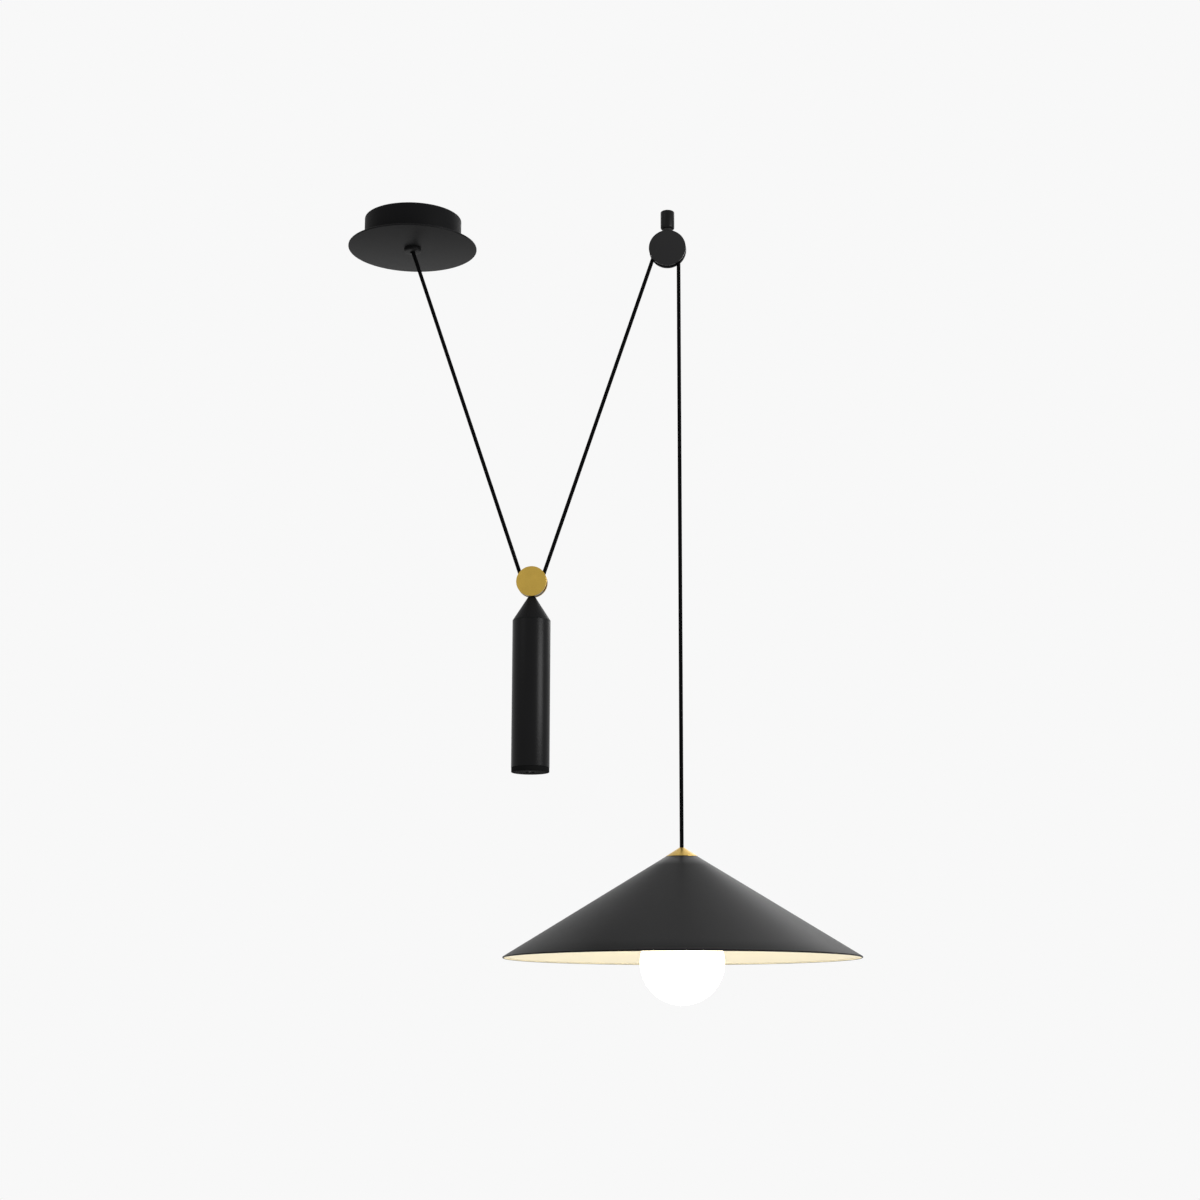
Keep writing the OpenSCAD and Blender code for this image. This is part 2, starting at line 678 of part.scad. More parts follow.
grub_d = 3;
grub_z = -stem_l + stud_l / 2;
module ceiling_stem()
    color(black_paint) translate([pulley_spacing, 0, 0]) difference() {
        rotate_extrude() polygon([
            [0, 0], [stem_d / 2 - 1.2, 0], [stem_d / 2 - 0.35, -0.35], [stem_d / 2, -1.2],
            [stem_d / 2, -stem_l + 1.2], [stem_d / 2 - 0.35, -stem_l + 0.35],
            [stem_d / 2 - 1.2, -stem_l], [0, -stem_l]
        ]);
        translate([0, 0, -stem_hole_l]) cylinder(d = stem_hole_d, h = stem_hole_l + 1);
        translate([0, 0, -stem_l - 1]) cylinder(d = stud_d + 2 * seat_gap, h = stud_l + 1.5);
        translate([0, 0, grub_z]) rotate([-90, 0, 0]) cylinder(d = grub_d, h = stem_d);
    }

module ceiling_hanger()
    color(black_paint) translate([pulley_spacing, 0, 0]) difference() {
        union() {
            translate([0, 0, -stem_l - eps]) cylinder(d = stud_d, h = stud_l + eps);
            translate([0, 0, -stem_l - neck_h]) cylinder(d = neck_d, h = neck_h);
            translate([0, 0, ceiling_axle_z]) {
                intersection() {
                    translate([-tongue_w / 2, -cheek_gap / 2, tongue_low_r])
                        cube([tongue_w, cheek_gap, ceiling_cheek_d / 2]);
                    rotate([90, 0, 0])
                        cylinder(d = ceiling_cheek_d - 0.4, h = 2 * cheek_gap, center = true);
                }
                translate([-neck_d * 0.4, -cheek_gap / 2, tongue_low_r + 1])
                    cube([neck_d * 0.8, cheek_gap, ceiling_cheek_d / 2 - tongue_low_r - 1 + eps]);
            }
        }
        for (p = ceiling_screws) translate([p[0], 0, ceiling_axle_z + p[1]]) rotate([90, 0, 0])
            cylinder(d = block_screw_d + 2 * seat_gap, h = 2 * neck_d, center = true);
    }

module ceiling_grub_screw()
    color(steel) translate([pulley_spacing, stud_d / 2 + 0.05, grub_z]) rotate([-90, 0, 0])
        difference() {
            cylinder(d = grub_d, h = (stem_d - stud_d) / 2 - 0.4);
            translate([0, 0, (stem_d - stud_d) / 2 - 2]) cylinder(d = 1.7, h = 3, $fn = 6);
        }

module ceiling_front_cheek()
    color(black_paint) facing_front(ceiling_axis) front_cheek(ceiling_cheek_d, ceiling_screws);

module ceiling_rear_cheek()
    color(black_paint) facing_front(ceiling_axis) rear_cheek(ceiling_cheek_d, ceiling_screws);

module ceiling_axle()
    color(steel) facing_front(ceiling_axis) axle_screw();

module ceiling_wheel()
    color(plastic_black) facing_front(ceiling_axis) grooved_wheel(ceiling_pitch_r);

module ceiling_bush()
    color(brass) facing_front(ceiling_axis) bush();

module ceiling_block_screws()
    color(steel) facing_front(ceiling_axis) block_screws(ceiling_screws);

// ---------------------------------------------------------------- counterweight

module counterweight_front_cheek()
    color(brass) facing_front(counterweight_axis) front_cheek(brass_cheek_d, brass_screws);

module counterweight_rear_cheek()
    color(brass) facing_front(counterweight_axis) rear_cheek(brass_cheek_d, brass_screws);

module counterweight_axle()
    color(steel) facing_front(counterweight_axis) axle_screw();

module counterweight_wheel()
    color(plastic_black) facing_front(counterweight_axis) grooved_wheel(brass_pitch_r);

module counterweight_bush()
    color(brass) facing_front(counterweight_axis) bush();

// Curved block at the foot of the gap, tapped from below for the tie rod
module counterweight_block()
    color(steel) difference() {
        facing_front(counterweight_axis) difference() {
            intersection() {
                translate([0, 0, -cheek_gap / 2]) cylinder(r = block_low_r, h = cheek_gap);
                translate([-block_low_r * 0.75, -block_low_r, -cheek_gap])
                    cube([block_low_r * 1.5, block_low_r - block_top_r * 0.62, 2 * cheek_gap]);
            }
            translate([0, 0, -cheek_gap]) cylinder(r = block_top_r, h = 2 * cheek_gap);
            for (p = brass_screws) translate([p[0], p[1], -cheek_gap])
                cylinder(d = block_screw_d + 2 * seat_gap, h = 2 * cheek_gap);
        }
        translate([counterweight_x, 0, nose_top - 1])
            cylinder(d = rod_d, h = rod_top - nose_top + 1 + seat_gap);
    }

module counterweight_block_screws()
    color(steel) facing_front(counterweight_axis) block_screws(brass_screws);

module nose_cone()
    color(black_paint) turned([
        [rod_bore_d / 2, nose_top], [nose_tip_d / 2, nose_top],
        [weight_d / 2 - 0.3, tube_top + 0.4], [weight_d / 2, tube_top],
        [spigot_r, tube_top], [spigot_r, tube_top - spigot_h], [rod_bore_d / 2, tube_top - spigot_h]
    ], counterweight_x);

module weight_tube()
    color(black_paint) turned([
        [tube_bore_d / 2, tube_top], [weight_d / 2, tube_top],
        [weight_d / 2, tube_bottom], [tube_bore_d / 2, tube_bottom]
    ], counterweight_x);

module bottom_cap()
    color(black_paint) turned([
        [rod_bore_d / 2, tube_bottom + spigot_h], [spigot_r, tube_bottom + spigot_h],
        [spigot_r, tube_bottom], [weight_d / 2 - 0.2, tube_bottom],
        [weight_d / 2 - 0.2, weight_bottom + 0.5], [weight_d / 2 - 0.7, weight_bottom],
        [rod_nut_af / 2 + 1.5, weight_bottom], [rod_nut_af / 2 + 1.5, weight_bottom + rod_recess_h],
        [rod_bore_d / 2, weight_bottom + rod_recess_h]
    ], counterweight_x);

module ballast_slugs()
    color(steel) for (i = [0:slug_count - 1])
        translate([counterweight_x, 0, tube_top - spigot_h - slug_gap / 2 - (i + 1) * slug_l])
            difference() {
                cylinder(d = slug_d, h = slug_l - 0.02);
                translate([0, 0, -1]) cylinder(d = rod_bore_d, h = slug_l + 2);
            }

module tie_rod()
    color(steel) translate([counterweight_x, 0, weight_bottom + 0.5])
        cylinder(d = rod_d, h = rod_top - weight_bottom - 0.5);

module tie_nut()
    color(steel) hex_nut(rod_nut_af, rod_nut_h, rod_d,
        weight_bottom + rod_recess_h - rod_nut_h, counterweight_x);

// ---------------------------------------------------------------- shade

module shade_cap()
    color(brass) turned([
        [cord_r + seat_gap, cap_top], [cap_tip_d / 2, cap_top], [cap_d / 2, shade_top + 0.3],
        [cap_d / 2, shade_top], [pipe_hole_d / 2, shade_top],
        [pipe_hole_d / 2, nipple_top + seat_gap], [cord_r + seat_gap, nipple_top + seat_gap]
    ], lamp_x);

// The sheet runs down to a bead, rolled round a wire, that the outer line meets smoothly
bead_at = [shade_d / 2 - bead_r, shade_foot + bead_r];
bead_way = [bead_at[0] - cap_d / 2, shade_top - bead_at[1]];
shade_slope = atan2(bead_way[1], bead_way[0]) - asin(bead_r / norm(bead_way));
bead_turn = 270 + asin((bead_r - shade_t) / bead_r);
module shade()
    color(black_paint) turned(concat(
        [[pipe_hole_d / 2, shade_top], [cap_d / 2, shade_top]],
        [for (i = [0:12]) let (a = 90 - shade_slope - bead_turn * i / 12)
            bead_at + bead_r * [cos(a), sin(a)]],
        [[cap_d / 2 - shade_t * tan(shade_slope / 2), shade_top - shade_t],
         [pipe_hole_d / 2, shade_top - shade_t]]
    ), lamp_x);

module shade_nipple()
    color(steel) turned([
        [nipple_bore_d / 2, nipple_top], [pipe_d / 2, nipple_top],
        [pipe_d / 2, nipple_bottom], [nipple_bore_d / 2, nipple_bottom]
    ], lamp_x);

module shade_washer()
    color(steel) turned([
        [pipe_hole_d / 2, washer_bottom + washer_t], [cap_d / 2 - 2, washer_bottom + washer_t],
        [cap_d / 2 - 2, washer_bottom], [pipe_hole_d / 2, washer_bottom]
    ], lamp_x);

module shade_nut()
    color(steel) hex_nut(pipe_nut_af, pipe_nut_h, pipe_hole_d, shade_nut_bottom, lamp_x);

// ---------------------------------------------------------------- lampholder

holder_neck_r = pipe_d / 2 + 4;
holder_bore_r = holder_r - holder_wall;
spigot_out_r = holder_bore_r - seat_gap;
spigot_in_r = spigot_out_r - 1.4;
core_r = spigot_in_r - seat_gap;
lip_r = neck_r + 0.6;
ledge_top = core_bottom - flange_t - seat_gap;

module lampholder_cap()
    color(plastic_black) turned([
        [pipe_hole_d / 2, holder_top], [holder_neck_r - 0.6, holder_top],
        [holder_neck_r, holder_top - 0.6], [holder_neck_r, holder_neck_z],
        [holder_r - 3, holder_neck_z - 6], [holder_r, holder_neck_z - 9],
        [holder_r, holder_joint], [holder_bore_r, holder_joint],
        [holder_bore_r, holder_neck_z - 9.6], [holder_r - 4, holder_neck_z - 8],
        [holder_neck_r - 2, holder_neck_z - 1.6], [holder_neck_r - 2, holder_neck_z],
        [pipe_hole_d / 2, holder_neck_z]
    ], lamp_x);

module lampholder_skirt()
    color(plastic_black) turned([
        [spigot_in_r, core_top], [spigot_out_r, core_top], [spigot_out_r, holder_joint - seat_gap],
        [holder_r, holder_joint - seat_gap], [holder_r, holder_bottom + 1],
        [holder_r - 1, holder_bottom], [lip_r, holder_bottom],
        [lip_r, holder_bottom + 2], [holder_bore_r, holder_bottom + 2],
        [holder_bore_r, ledge_top - 2], [lip_r, ledge_top - 2],
        [lip_r, ledge_top], [spigot_in_r, ledge_top]
    ], lamp_x);

lead_post_r = 10;
post_at = [for (a = [90, 210, 330]) [lead_post_r * cos(a), lead_post_r * sin(a)]];
module lampholder_core()
    color(plastic_white) translate([lamp_x, 0, core_bottom]) difference() {
        cylinder(r = core_r, h = core_h);
        translate([0, 0, -1]) cylinder(d = 3, h = core_h + 2);
        for (p = post_at) translate([p[0], p[1], core_h / 2]) cylinder(d = 3, h = core_h);
    }

module lampholder_shell()
    color(brass) turned([
        [shell_r, core_bottom], [core_r, core_bottom], [core_r, core_bottom - flange_t],
        [shell_r + shell_t, core_bottom - flange_t], [shell_r + shell_t, core_bottom - shell_h],
        [shell_r, core_bottom - shell_h]
    ], lamp_x);

// Rivet through the core, with the disc that the bulb's tip meets
module lampholder_contact()
    color(brass) turned([
        [0, core_top - 0.5], [1.5, core_top - 0.5], [1.5, core_bottom], [4, core_bottom],
        [4, core_bottom - flange_t], [0, core_bottom - flange_t]
    ], lamp_x);

module lamp_cord_ferrule()
    color(brass) turned([
        [cord_r + seat_gap, ferrule_bottom + ferrule_h],
        [pipe_d / 2 - 0.2, ferrule_bottom + ferrule_h],
        [pipe_d / 2 - 0.2, ferrule_bottom], [cord_r + seat_gap, ferrule_bottom]
    ], lamp_x);

module lamp_leads()
    color(plastic_white) for (i = [0:2]) {
        way = post_at[i] / lead_post_r;
        low = core_top - core_h / 2 + 0.3;
        tube(eased([
            [lamp_x + way[0] * 0.95, way[1] * 0.95, ferrule_bottom - 0.05],
            [lamp_x + way[0] * 0.95, way[1] * 0.95, ferrule_bottom - 0.9],
            [lamp_x + way[0] * 5.5, way[1] * 5.5, ferrule_bottom - 1.9],
            [lamp_x + way[0] * 9.4, way[1] * 9.4, (ferrule_bottom + core_top) / 2 - 1.4],
            [lamp_x + post_at[i][0], post_at[i][1], core_top - 0.6],
            [lamp_x + post_at[i][0], post_at[i][1], low]
        ]), core_d, lead_sides, [-way[1], way[0], 0]);
    }

// ---------------------------------------------------------------- bulb

function globe_line(r, turns) = [for (a = turns) [r * cos(a), globe_z + r * sin(a)]];
function fillet_line(r, turns) = [for (a = turns)
    [neck_r + fillet_r - r * cos(a), fillet_z - r * sin(a)]];
module bulb_globe()
    color(opal) turned(concat(
        globe_line(globe_r, [for (i = [0:26]) -90 + (90 + fillet_turn) * i / 26]),
        fillet_line(fillet_r, [for (i = [5:-1:0]) fillet_turn * i / 6]),
        [[neck_r, glass_top], [neck_r - glass_t, glass_top]],
        fillet_line(fillet_r + glass_t, [for (i = [0:5]) fillet_turn * i / 6]),
        globe_line(globe_r - glass_t, [for (i = [26:-1:0]) -90 + (90 + fillet_turn) * i / 26])
    ), lamp_x);

// Screw cap: round ridges stand for the thread
cap_r = screw_cap_d / 2;
ridge_h = 3.5;
ridge_count = 5;
ridge_deep = 0.7;
ridge_low = glass_top + 2.6;
module bulb_cap()
    color(steel) turned(concat(
        [[cap_r - 2, screw_cap_top], [cap_r - 1.2, screw_cap_top]],
        [for (i = [0:ridge_count * 4]) let (k = ridge_count * 4 - i)
            [cap_r - ridge_deep / 2 * (1 + cos(90 * k)), ridge_low + ridge_h / 4 * k]],
        [[cap_r + 0.9, glass_top + 0.1], [cap_r - 1, glass_top + 0.1]],
        [[cap_r - 2, ridge_low]]
    ), lamp_x);

module bulb_insulator()
    color(plastic_black) turned([
        [2.5, screw_cap_top + insulator_h], [5, screw_cap_top + insulator_h],
        [cap_r - 1.6, screw_cap_top], [2.5, screw_cap_top]
    ], lamp_x);

module bulb_contact()
    color(brass) turned([
        [0, bulb_top], [3.4, bulb_top], [4.6, bulb_top - contact_h + 0.6],
        [4.6, bulb_top - contact_h], [2.4, bulb_top - contact_h],
        [2.4, screw_cap_top], [0, screw_cap_top]
    ], lamp_x);

// Driver can in the cap and neck, with the plate of diodes in the globe
module bulb_led_module()
    color(plastic_white) turned([
        [0, screw_cap_top - 1], [cap_r - 2.4, screw_cap_top - 1], [cap_r - 2.4, glass_top - 8],
        [cap_r + 1, glass_top - 20], [cap_r + 1, glass_top - 22], [0, glass_top - 22]
    ], lamp_x);

// ---------------------------------------------------------------- the nodes

canopy_drum();
canopy_plate();
outlet_bush();
ceiling_bracket();
bracket_side_screws();
outlet_nut();
cord_grip();
cord_grip_screws();
terminal_block();
terminal_inserts();
terminal_screws();
earth_screw();
canopy_leads();
ceiling_stem();
ceiling_hanger();
ceiling_grub_screw();
ceiling_front_cheek();
ceiling_rear_cheek();
ceiling_axle();
ceiling_wheel();
ceiling_bush();
ceiling_block_screws();
counterweight_front_cheek();
counterweight_rear_cheek();
counterweight_axle();
counterweight_wheel();
counterweight_bush();
counterweight_block();
counterweight_block_screws();
nose_cone();
weight_tube();
bottom_cap();
ballast_slugs();
tie_rod();
tie_nut();
shade_cap();
shade();
shade_nipple();
shade_washer();
shade_nut();
lampholder_cap();
lampholder_skirt();
lampholder_core();
lampholder_shell();
lampholder_contact();
lamp_cord_ferrule();
lamp_leads();
bulb_globe();
bulb_cap();
bulb_insulator();
bulb_contact();
bulb_led_module();
cord_tail();
cord_left_leg();
cord_counterweight_wrap();
cord_right_leg();
cord_ceiling_wrap();
cord_drop();
cord_lamp_end();
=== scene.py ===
"""Rise and fall pendant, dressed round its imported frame.

Blender works in metres: +Z up, the origin on the ceiling in the middle of the canopy, the
front towards -Y. Outlines and places are written in millimetres, and scaled by MM as they
become meshes.
"""

import math
from types import SimpleNamespace

import bmesh
import bpy
from mathutils import Matrix, Vector
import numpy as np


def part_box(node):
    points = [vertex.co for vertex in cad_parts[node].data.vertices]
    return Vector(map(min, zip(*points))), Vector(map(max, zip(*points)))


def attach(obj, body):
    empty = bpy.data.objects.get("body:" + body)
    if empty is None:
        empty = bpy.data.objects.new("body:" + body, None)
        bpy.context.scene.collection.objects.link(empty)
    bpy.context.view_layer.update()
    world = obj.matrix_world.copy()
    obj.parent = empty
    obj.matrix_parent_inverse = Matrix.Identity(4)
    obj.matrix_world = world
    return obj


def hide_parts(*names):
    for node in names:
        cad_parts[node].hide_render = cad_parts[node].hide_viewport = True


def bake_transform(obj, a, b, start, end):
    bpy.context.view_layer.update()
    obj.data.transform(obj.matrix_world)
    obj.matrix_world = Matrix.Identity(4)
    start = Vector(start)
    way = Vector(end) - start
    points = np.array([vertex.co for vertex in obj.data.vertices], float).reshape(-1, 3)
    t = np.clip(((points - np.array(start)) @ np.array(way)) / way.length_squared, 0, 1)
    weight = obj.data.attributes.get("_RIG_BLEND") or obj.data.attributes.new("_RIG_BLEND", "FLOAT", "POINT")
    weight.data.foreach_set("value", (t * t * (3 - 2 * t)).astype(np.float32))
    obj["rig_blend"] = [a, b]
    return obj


MM = 0.001

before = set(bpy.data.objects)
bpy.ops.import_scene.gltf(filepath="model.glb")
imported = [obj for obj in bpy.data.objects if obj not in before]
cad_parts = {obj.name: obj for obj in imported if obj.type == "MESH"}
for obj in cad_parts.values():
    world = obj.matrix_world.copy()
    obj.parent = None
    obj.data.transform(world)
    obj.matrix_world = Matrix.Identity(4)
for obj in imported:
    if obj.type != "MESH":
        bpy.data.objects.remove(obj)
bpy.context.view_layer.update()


def span(node):
    """A CAD node's box in millimetres, with its middle, its radius across X and its height."""
    low, high = (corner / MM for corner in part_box(node))
    mid = (low + high) / 2
    return SimpleNamespace(
        x0=low.x, y0=low.y, z0=low.z, x1=high.x, y1=high.y, z1=high.z,
        cx=mid.x, cy=mid.y, cz=mid.z, r=(high.x - low.x) / 2, h=high.z - low.z,
    )


# ---------------------------------------------------------------- camera

# Fitted to the canopy's and the shade's ellipses, the two discs and the cords, in pixels of
# the 1200-pixel frame. The eye is a little below the shade's rim and looks slightly up.
IMAGE_PX = 1200
FOCAL_PX = 2101.1
CENTRE_PX = (624.1, 615.7)
EYE = Vector((0.4709, -2.3613, -0.9742))
HEADING = math.radians(5.2)
LIFT = math.radians(11.5)
SENSOR_MM = 36.0
FARTHEST = 100


def make_camera():
    data = bpy.data.cameras.new("camera")
    data.sensor_width = SENSOR_MM
    data.lens = FOCAL_PX / IMAGE_PX * SENSOR_MM
    data.shift_x = 0.5 - CENTRE_PX[0] / IMAGE_PX
    data.shift_y = CENTRE_PX[1] / IMAGE_PX - 0.5
    data.clip_end = FARTHEST
    ahead = Vector((
        -math.sin(HEADING) * math.cos(LIFT), math.cos(HEADING) * math.cos(LIFT), math.sin(LIFT)
    ))
    right = Vector((math.cos(HEADING), math.sin(HEADING), 0))
    up = right.cross(ahead)
    camera = bpy.data.objects.new("camera", data)
    camera.matrix_world = Matrix((
        (right.x, up.x, -ahead.x, EYE.x),
        (right.y, up.y, -ahead.y, EYE.y),
        (right.z, up.z, -ahead.z, EYE.z),
        (0, 0, 0, 1),
    ))
    bpy.context.scene.collection.objects.link(camera)
    bpy.context.scene.camera = camera


# ---------------------------------------------------------------- node trees


def add_node(tree, kind, settings=None, **inputs):
    """Adds a node. An input goes by its name, with _ for a space, or by its number, as i0."""
    node = tree.nodes.new(kind)
    for name, value in (settings or {}).items():
        setattr(node, name, value)
    for name, value in inputs.items():
        numbered = name[0] == "i" and name[1:].isdigit()
        socket = node.inputs[int(name[1:]) if numbered else name.replace("_", " ")]
        if isinstance(value, bpy.types.NodeSocket):
            tree.links.new(value, socket)
        else:
            socket.default_value = value
    return node


class Nodes:
    """A material's node tree, with short ways to add nodes and join them."""

    def __init__(self, name, **settings):
        self.material = bpy.data.materials.new(name)
        self.material.use_nodes = True
        self.tree = self.material.node_tree
        self.shader = self.tree.nodes["Principled BSDF"]
        for socket, value in settings.items():
            self.set(socket.replace("_", " "), value)

    def set(self, socket, value):
        self.shader.inputs[socket].default_value = value

    def feed(self, socket, output):
        self.tree.links.new(output, self.shader.inputs[socket])

    def add(self, kind, settings=None, **inputs):
        return add_node(self.tree, kind, settings, **inputs)

    def math(self, operation, a, b=0.0):
        return self.add("ShaderNodeMath", {"operation": operation}, i0=a, i1=b).outputs[0]

    def object_point(self):
        return self.add("ShaderNodeTexCoord").outputs["Object"]

    def axes(self, vector):
        return self.add("ShaderNodeSeparateXYZ", i0=vector).outputs

    def noise(self, point, scale, detail=2.0, roughness=0.5):
        """Noise of so many features to a metre."""
        node = self.add("ShaderNodeTexNoise", Vector=point, Scale=scale, Detail=detail,
                        Roughness=roughness)
        return node.outputs["Fac"]

    def between(self, factor, low, high, start=0.0, end=1.0):
        """Maps start to end onto low to high."""
        node = self.add("ShaderNodeMapRange", i0=factor, i1=start, i2=end, i3=low, i4=high)
        return node.outputs[0]

    def two_colours(self, factor, dark, light):
        node = self.add("ShaderNodeMix", {"data_type": "RGBA"}, i0=factor, i6=(*dark, 1),
                        i7=(*light, 1))
        return node.outputs[2]

    def bump(self, height, depth, strength, under=None):
        """Normal of a height map as deep as so many millimetres, over the one under it."""
        node = self.add("ShaderNodeBump", Height=height, Strength=strength, Distance=depth * MM)
        if under is not None:
            self.tree.links.new(under, node.inputs["Normal"])
        return node.outputs["Normal"]


# ---------------------------------------------------------------- materials


def times(colour, factor):
    return [min(1.0, c * factor) for c in colour]


def powder_coat(name, colour, roughness, gloss):
    """Fine-grained powder coat: shallow orange peel under a finer grain."""
    n = Nodes(name, Specular_IOR_Level=gloss)
    point = n.object_point()
    peel = n.noise(point, 420.0)
    grain = n.noise(point, 2600.0, 3.0, 0.6)
    cloud = n.noise(point, 18.0, 3.0)
    mottle = n.math("ADD", n.math("MULTIPLY", cloud, 0.6), n.math("MULTIPLY", grain, 0.4))
    n.feed("Base Color", n.two_colours(mottle, times(colour, 0.82), times(colour, 1.18)))
    n.feed("Roughness", n.between(grain, roughness - 0.06, roughness + 0.06))
    n.feed("Normal", n.bump(grain, 0.04, 0.5, n.bump(peel, 0.12, 0.5)))
    return n.material


# Features of the lathe's rings to a metre of radius
LATHE_RINGS = 3200.0


def turned_metal(name, colour, roughness, centre, axis, groove=0.35):
    """Metal turned on a lathe: fine rings about the axis through centre, and a soft patina."""
    n = Nodes(name, Metallic=1.0)
    point = n.object_point()
    parts = n.axes(point)
    across = [i for i in range(3) if i != axis]
    squares = [n.math("POWER", n.math("SUBTRACT", parts[i], centre[i] * MM), 2.0) for i in across]
    radius = n.math("SQRT", n.math("ADD", *squares))
    rings = n.add("ShaderNodeTexNoise", {"noise_dimensions": "1D"}, Detail=3.0, Roughness=0.7,
                  W=n.math("MULTIPLY", radius, LATHE_RINGS)).outputs["Fac"]
    patina = n.noise(point, 90.0, 4.0, 0.6)
    n.feed("Base Color", n.two_colours(patina, times(colour, 0.86), times(colour, 1.08)))
    n.feed("Roughness", n.math("ADD", n.between(rings, roughness - 0.05, roughness + 0.07),
                               n.between(patina, -0.03, 0.03)))
    n.feed("Normal", n.bump(rings, 0.03, groove))
    return n.material


def plain_metal(name, colour, roughness):
    """Plated or rolled metal of hidden hardware, with the clouds of a passivated plate."""
    n = Nodes(name, Metallic=1.0)
    point = n.object_point()
    stain = n.noise(point, 110.0, 5.0, 0.65)
    grain = n.noise(point, 1500.0)
    n.feed("Base Color", n.two_colours(stain, times(colour, 0.62), colour))
    n.feed("Roughness", n.between(stain, roughness - 0.06, roughness + 0.08))
    n.feed("Normal", n.bump(grain, 0.03, 0.4))
    return n.material


def moulded(name, colour, roughness, gloss, grain_scale=1800.0):
    """Moulded plastic with a fine spark-eroded grain."""
    n = Nodes(name, Specular_IOR_Level=gloss)
    point = n.object_point()
    grain = n.noise(point, grain_scale, 2.0, 0.6)
    cloud = n.noise(point, 40.0)
    n.feed("Base Color", n.two_colours(cloud, times(colour, 0.9), colour))
    n.feed("Roughness", n.between(grain, roughness - 0.05, roughness + 0.05))
    n.feed("Normal", n.bump(grain, 0.04, 0.5))
    return n.material


# Strands of a family round the cord, and the length in which each goes round it once
BRAID_STRANDS = 8.0
BRAID_PITCH = 11 * MM


def braided(name, colour):
    """Textile braid: two families of strands cross over and under, read from the tube's map."""
    n = Nodes(name, Roughness=0.9, Specular_IOR_Level=0.02)
    parts = n.axes(n.add("ShaderNodeTexCoord").outputs["UV"])
    round_it = n.math("MULTIPLY", parts[0], BRAID_STRANDS)
    along = n.math("MULTIPLY", parts[1], BRAID_STRANDS / BRAID_PITCH)
    families = n.math("ADD", round_it, along), n.math("SUBTRACT", round_it, along)
    crowns = [n.math("ABSOLUTE", n.math("SINE", n.math("MULTIPLY", family, math.pi)))
              for family in families]
    cells = n.math("ADD", *(n.math("FLOOR", family) for family in families))
    over = n.math("ABSOLUTE", n.math("MODULO", cells, 2.0))
    height = n.add("ShaderNodeMix", {"data_type": "FLOAT"}, i0=over, i2=crowns[0],
                   i3=crowns[1]).outputs[0]
    fibre = n.noise(n.object_point(), 3500.0)
    # The braid's colour follows its height: dark in the grooves between strands and light on their crowns.
    # This is painted shade.
    n.feed("Base Color", n.two_colours(height, times(colour, 0.45), times(colour, 1.5)))
    n.feed("Normal", n.bump(fibre, 0.03, 0.4, n.bump(height, 0.22, 0.8)))
    return n.material


GLOW = (1.0, 0.88, 0.64)
GLOW_STRENGTH = 7.5
NECK_GLOW = 0.12


def opal(name, globe):
    """Lit opal glass, dimmer towards its neck, where the lighting module turns its back."""
    n = Nodes(name, Roughness=0.18, Coat_Weight=0.4)
    point = n.object_point()
    flow = n.noise(point, 26.0)
    n.feed("Base Color", n.two_colours(flow, (0.86, 0.85, 0.81), (0.92, 0.91, 0.88)))
    middle = globe.z0 + globe.r
    lit = n.between(n.axes(point)[2], 0.0, 1.0, globe.z1 * MM, middle * MM)
    n.feed("Emission Color", n.two_colours(lit, times(GLOW, NECK_GLOW), GLOW))
    n.set("Emission Strength", GLOW_STRENGTH)
    return n.material


def enamel(name, colour):
    """Smooth lacquer of the shade's inside."""
    n = Nodes(name, Roughness=0.5, Specular_IOR_Level=0.3)
    point = n.object_point()
    peel = n.noise(point, 300.0)
    cloud = n.noise(point, 12.0)
    n.feed("Base Color", n.two_colours(cloud, times(colour, 0.97), colour))
    n.feed("Normal", n.bump(peel, 0.06, 0.4))
    return n.material


def middle_of(node):
    box = span(node)
    return box.cx, box.cy, box.cz


BLACK = (0.0045, 0.0045, 0.0048)
Y_AXIS, Z_AXIS = 1, 2
MATERIALS = {
    "black_coat": powder_coat("black_powder_coat", BLACK, 0.42, 0.062),
    "drum_black": powder_coat("drum_powder_coat", BLACK, 0.55, 0.035),
    "satin_black": powder_coat("satin_black_coat", BLACK, 0.32, 0.085),
    "pulley_black": powder_coat("pulley_black_coat", (0.013, 0.013, 0.0133), 0.34, 0.1),
    "black_plastic": moulded("black_moulding", (0.005, 0.005, 0.0053), 0.5, 0.12),
    "matt_black": moulded("matt_black_moulding", (0.006, 0.006, 0.0062), 0.7, 0.015),
    "steel": plain_metal("zinc_plate", (0.52, 0.53, 0.55), 0.34),
    "black_steel": plain_metal("black_oxide", (0.055, 0.055, 0.06), 0.42),
    "brass_disc": turned_metal("brass_disc", (0.455, 0.302, 0.06), 0.3,
                               middle_of("counterweight_front_cheek"), Y_AXIS),
    # The cap's brass is lighter than the disc's. This is painted light, for the brighter light that its
    # upward slope catches.
    "brass_cap": turned_metal("brass_cap", (0.52, 0.345, 0.075), 0.37,
                              middle_of("shade_cap"), Z_AXIS, 0.2),
    "plain_brass": plain_metal("plain_brass", (0.6, 0.44, 0.14), 0.32),
    "white_plastic": moulded("white_moulding", (0.72, 0.72, 0.69), 0.45, 0.4),
    "porcelain": moulded("porcelain", (0.8, 0.79, 0.75), 0.28, 0.5, 600.0),
    "lead": moulded("lead_sleeve", (0.55, 0.5, 0.42), 0.4, 0.4),
    "opal": opal("opal_glass", span("bulb_globe")),
    "cream": enamel("cream_lacquer", (0.93, 0.865, 0.68)),
    "cord": braided("black_braid", (0.0022, 0.0022, 0.0024)),
}

# ---------------------------------------------------------------- outlines

# A rounding takes at most this share of a side. It is left out if it would reach less far from
# its corner than the next value, in millimetres, or if half its turn is under the last one, in
# radians.
ROUNDING_SHARE = 0.45
LEAST_REACH = 0.005
LEAST_HALF_TURN = 0.01
# Sides of a rounding
CORNER_STEPS = 4


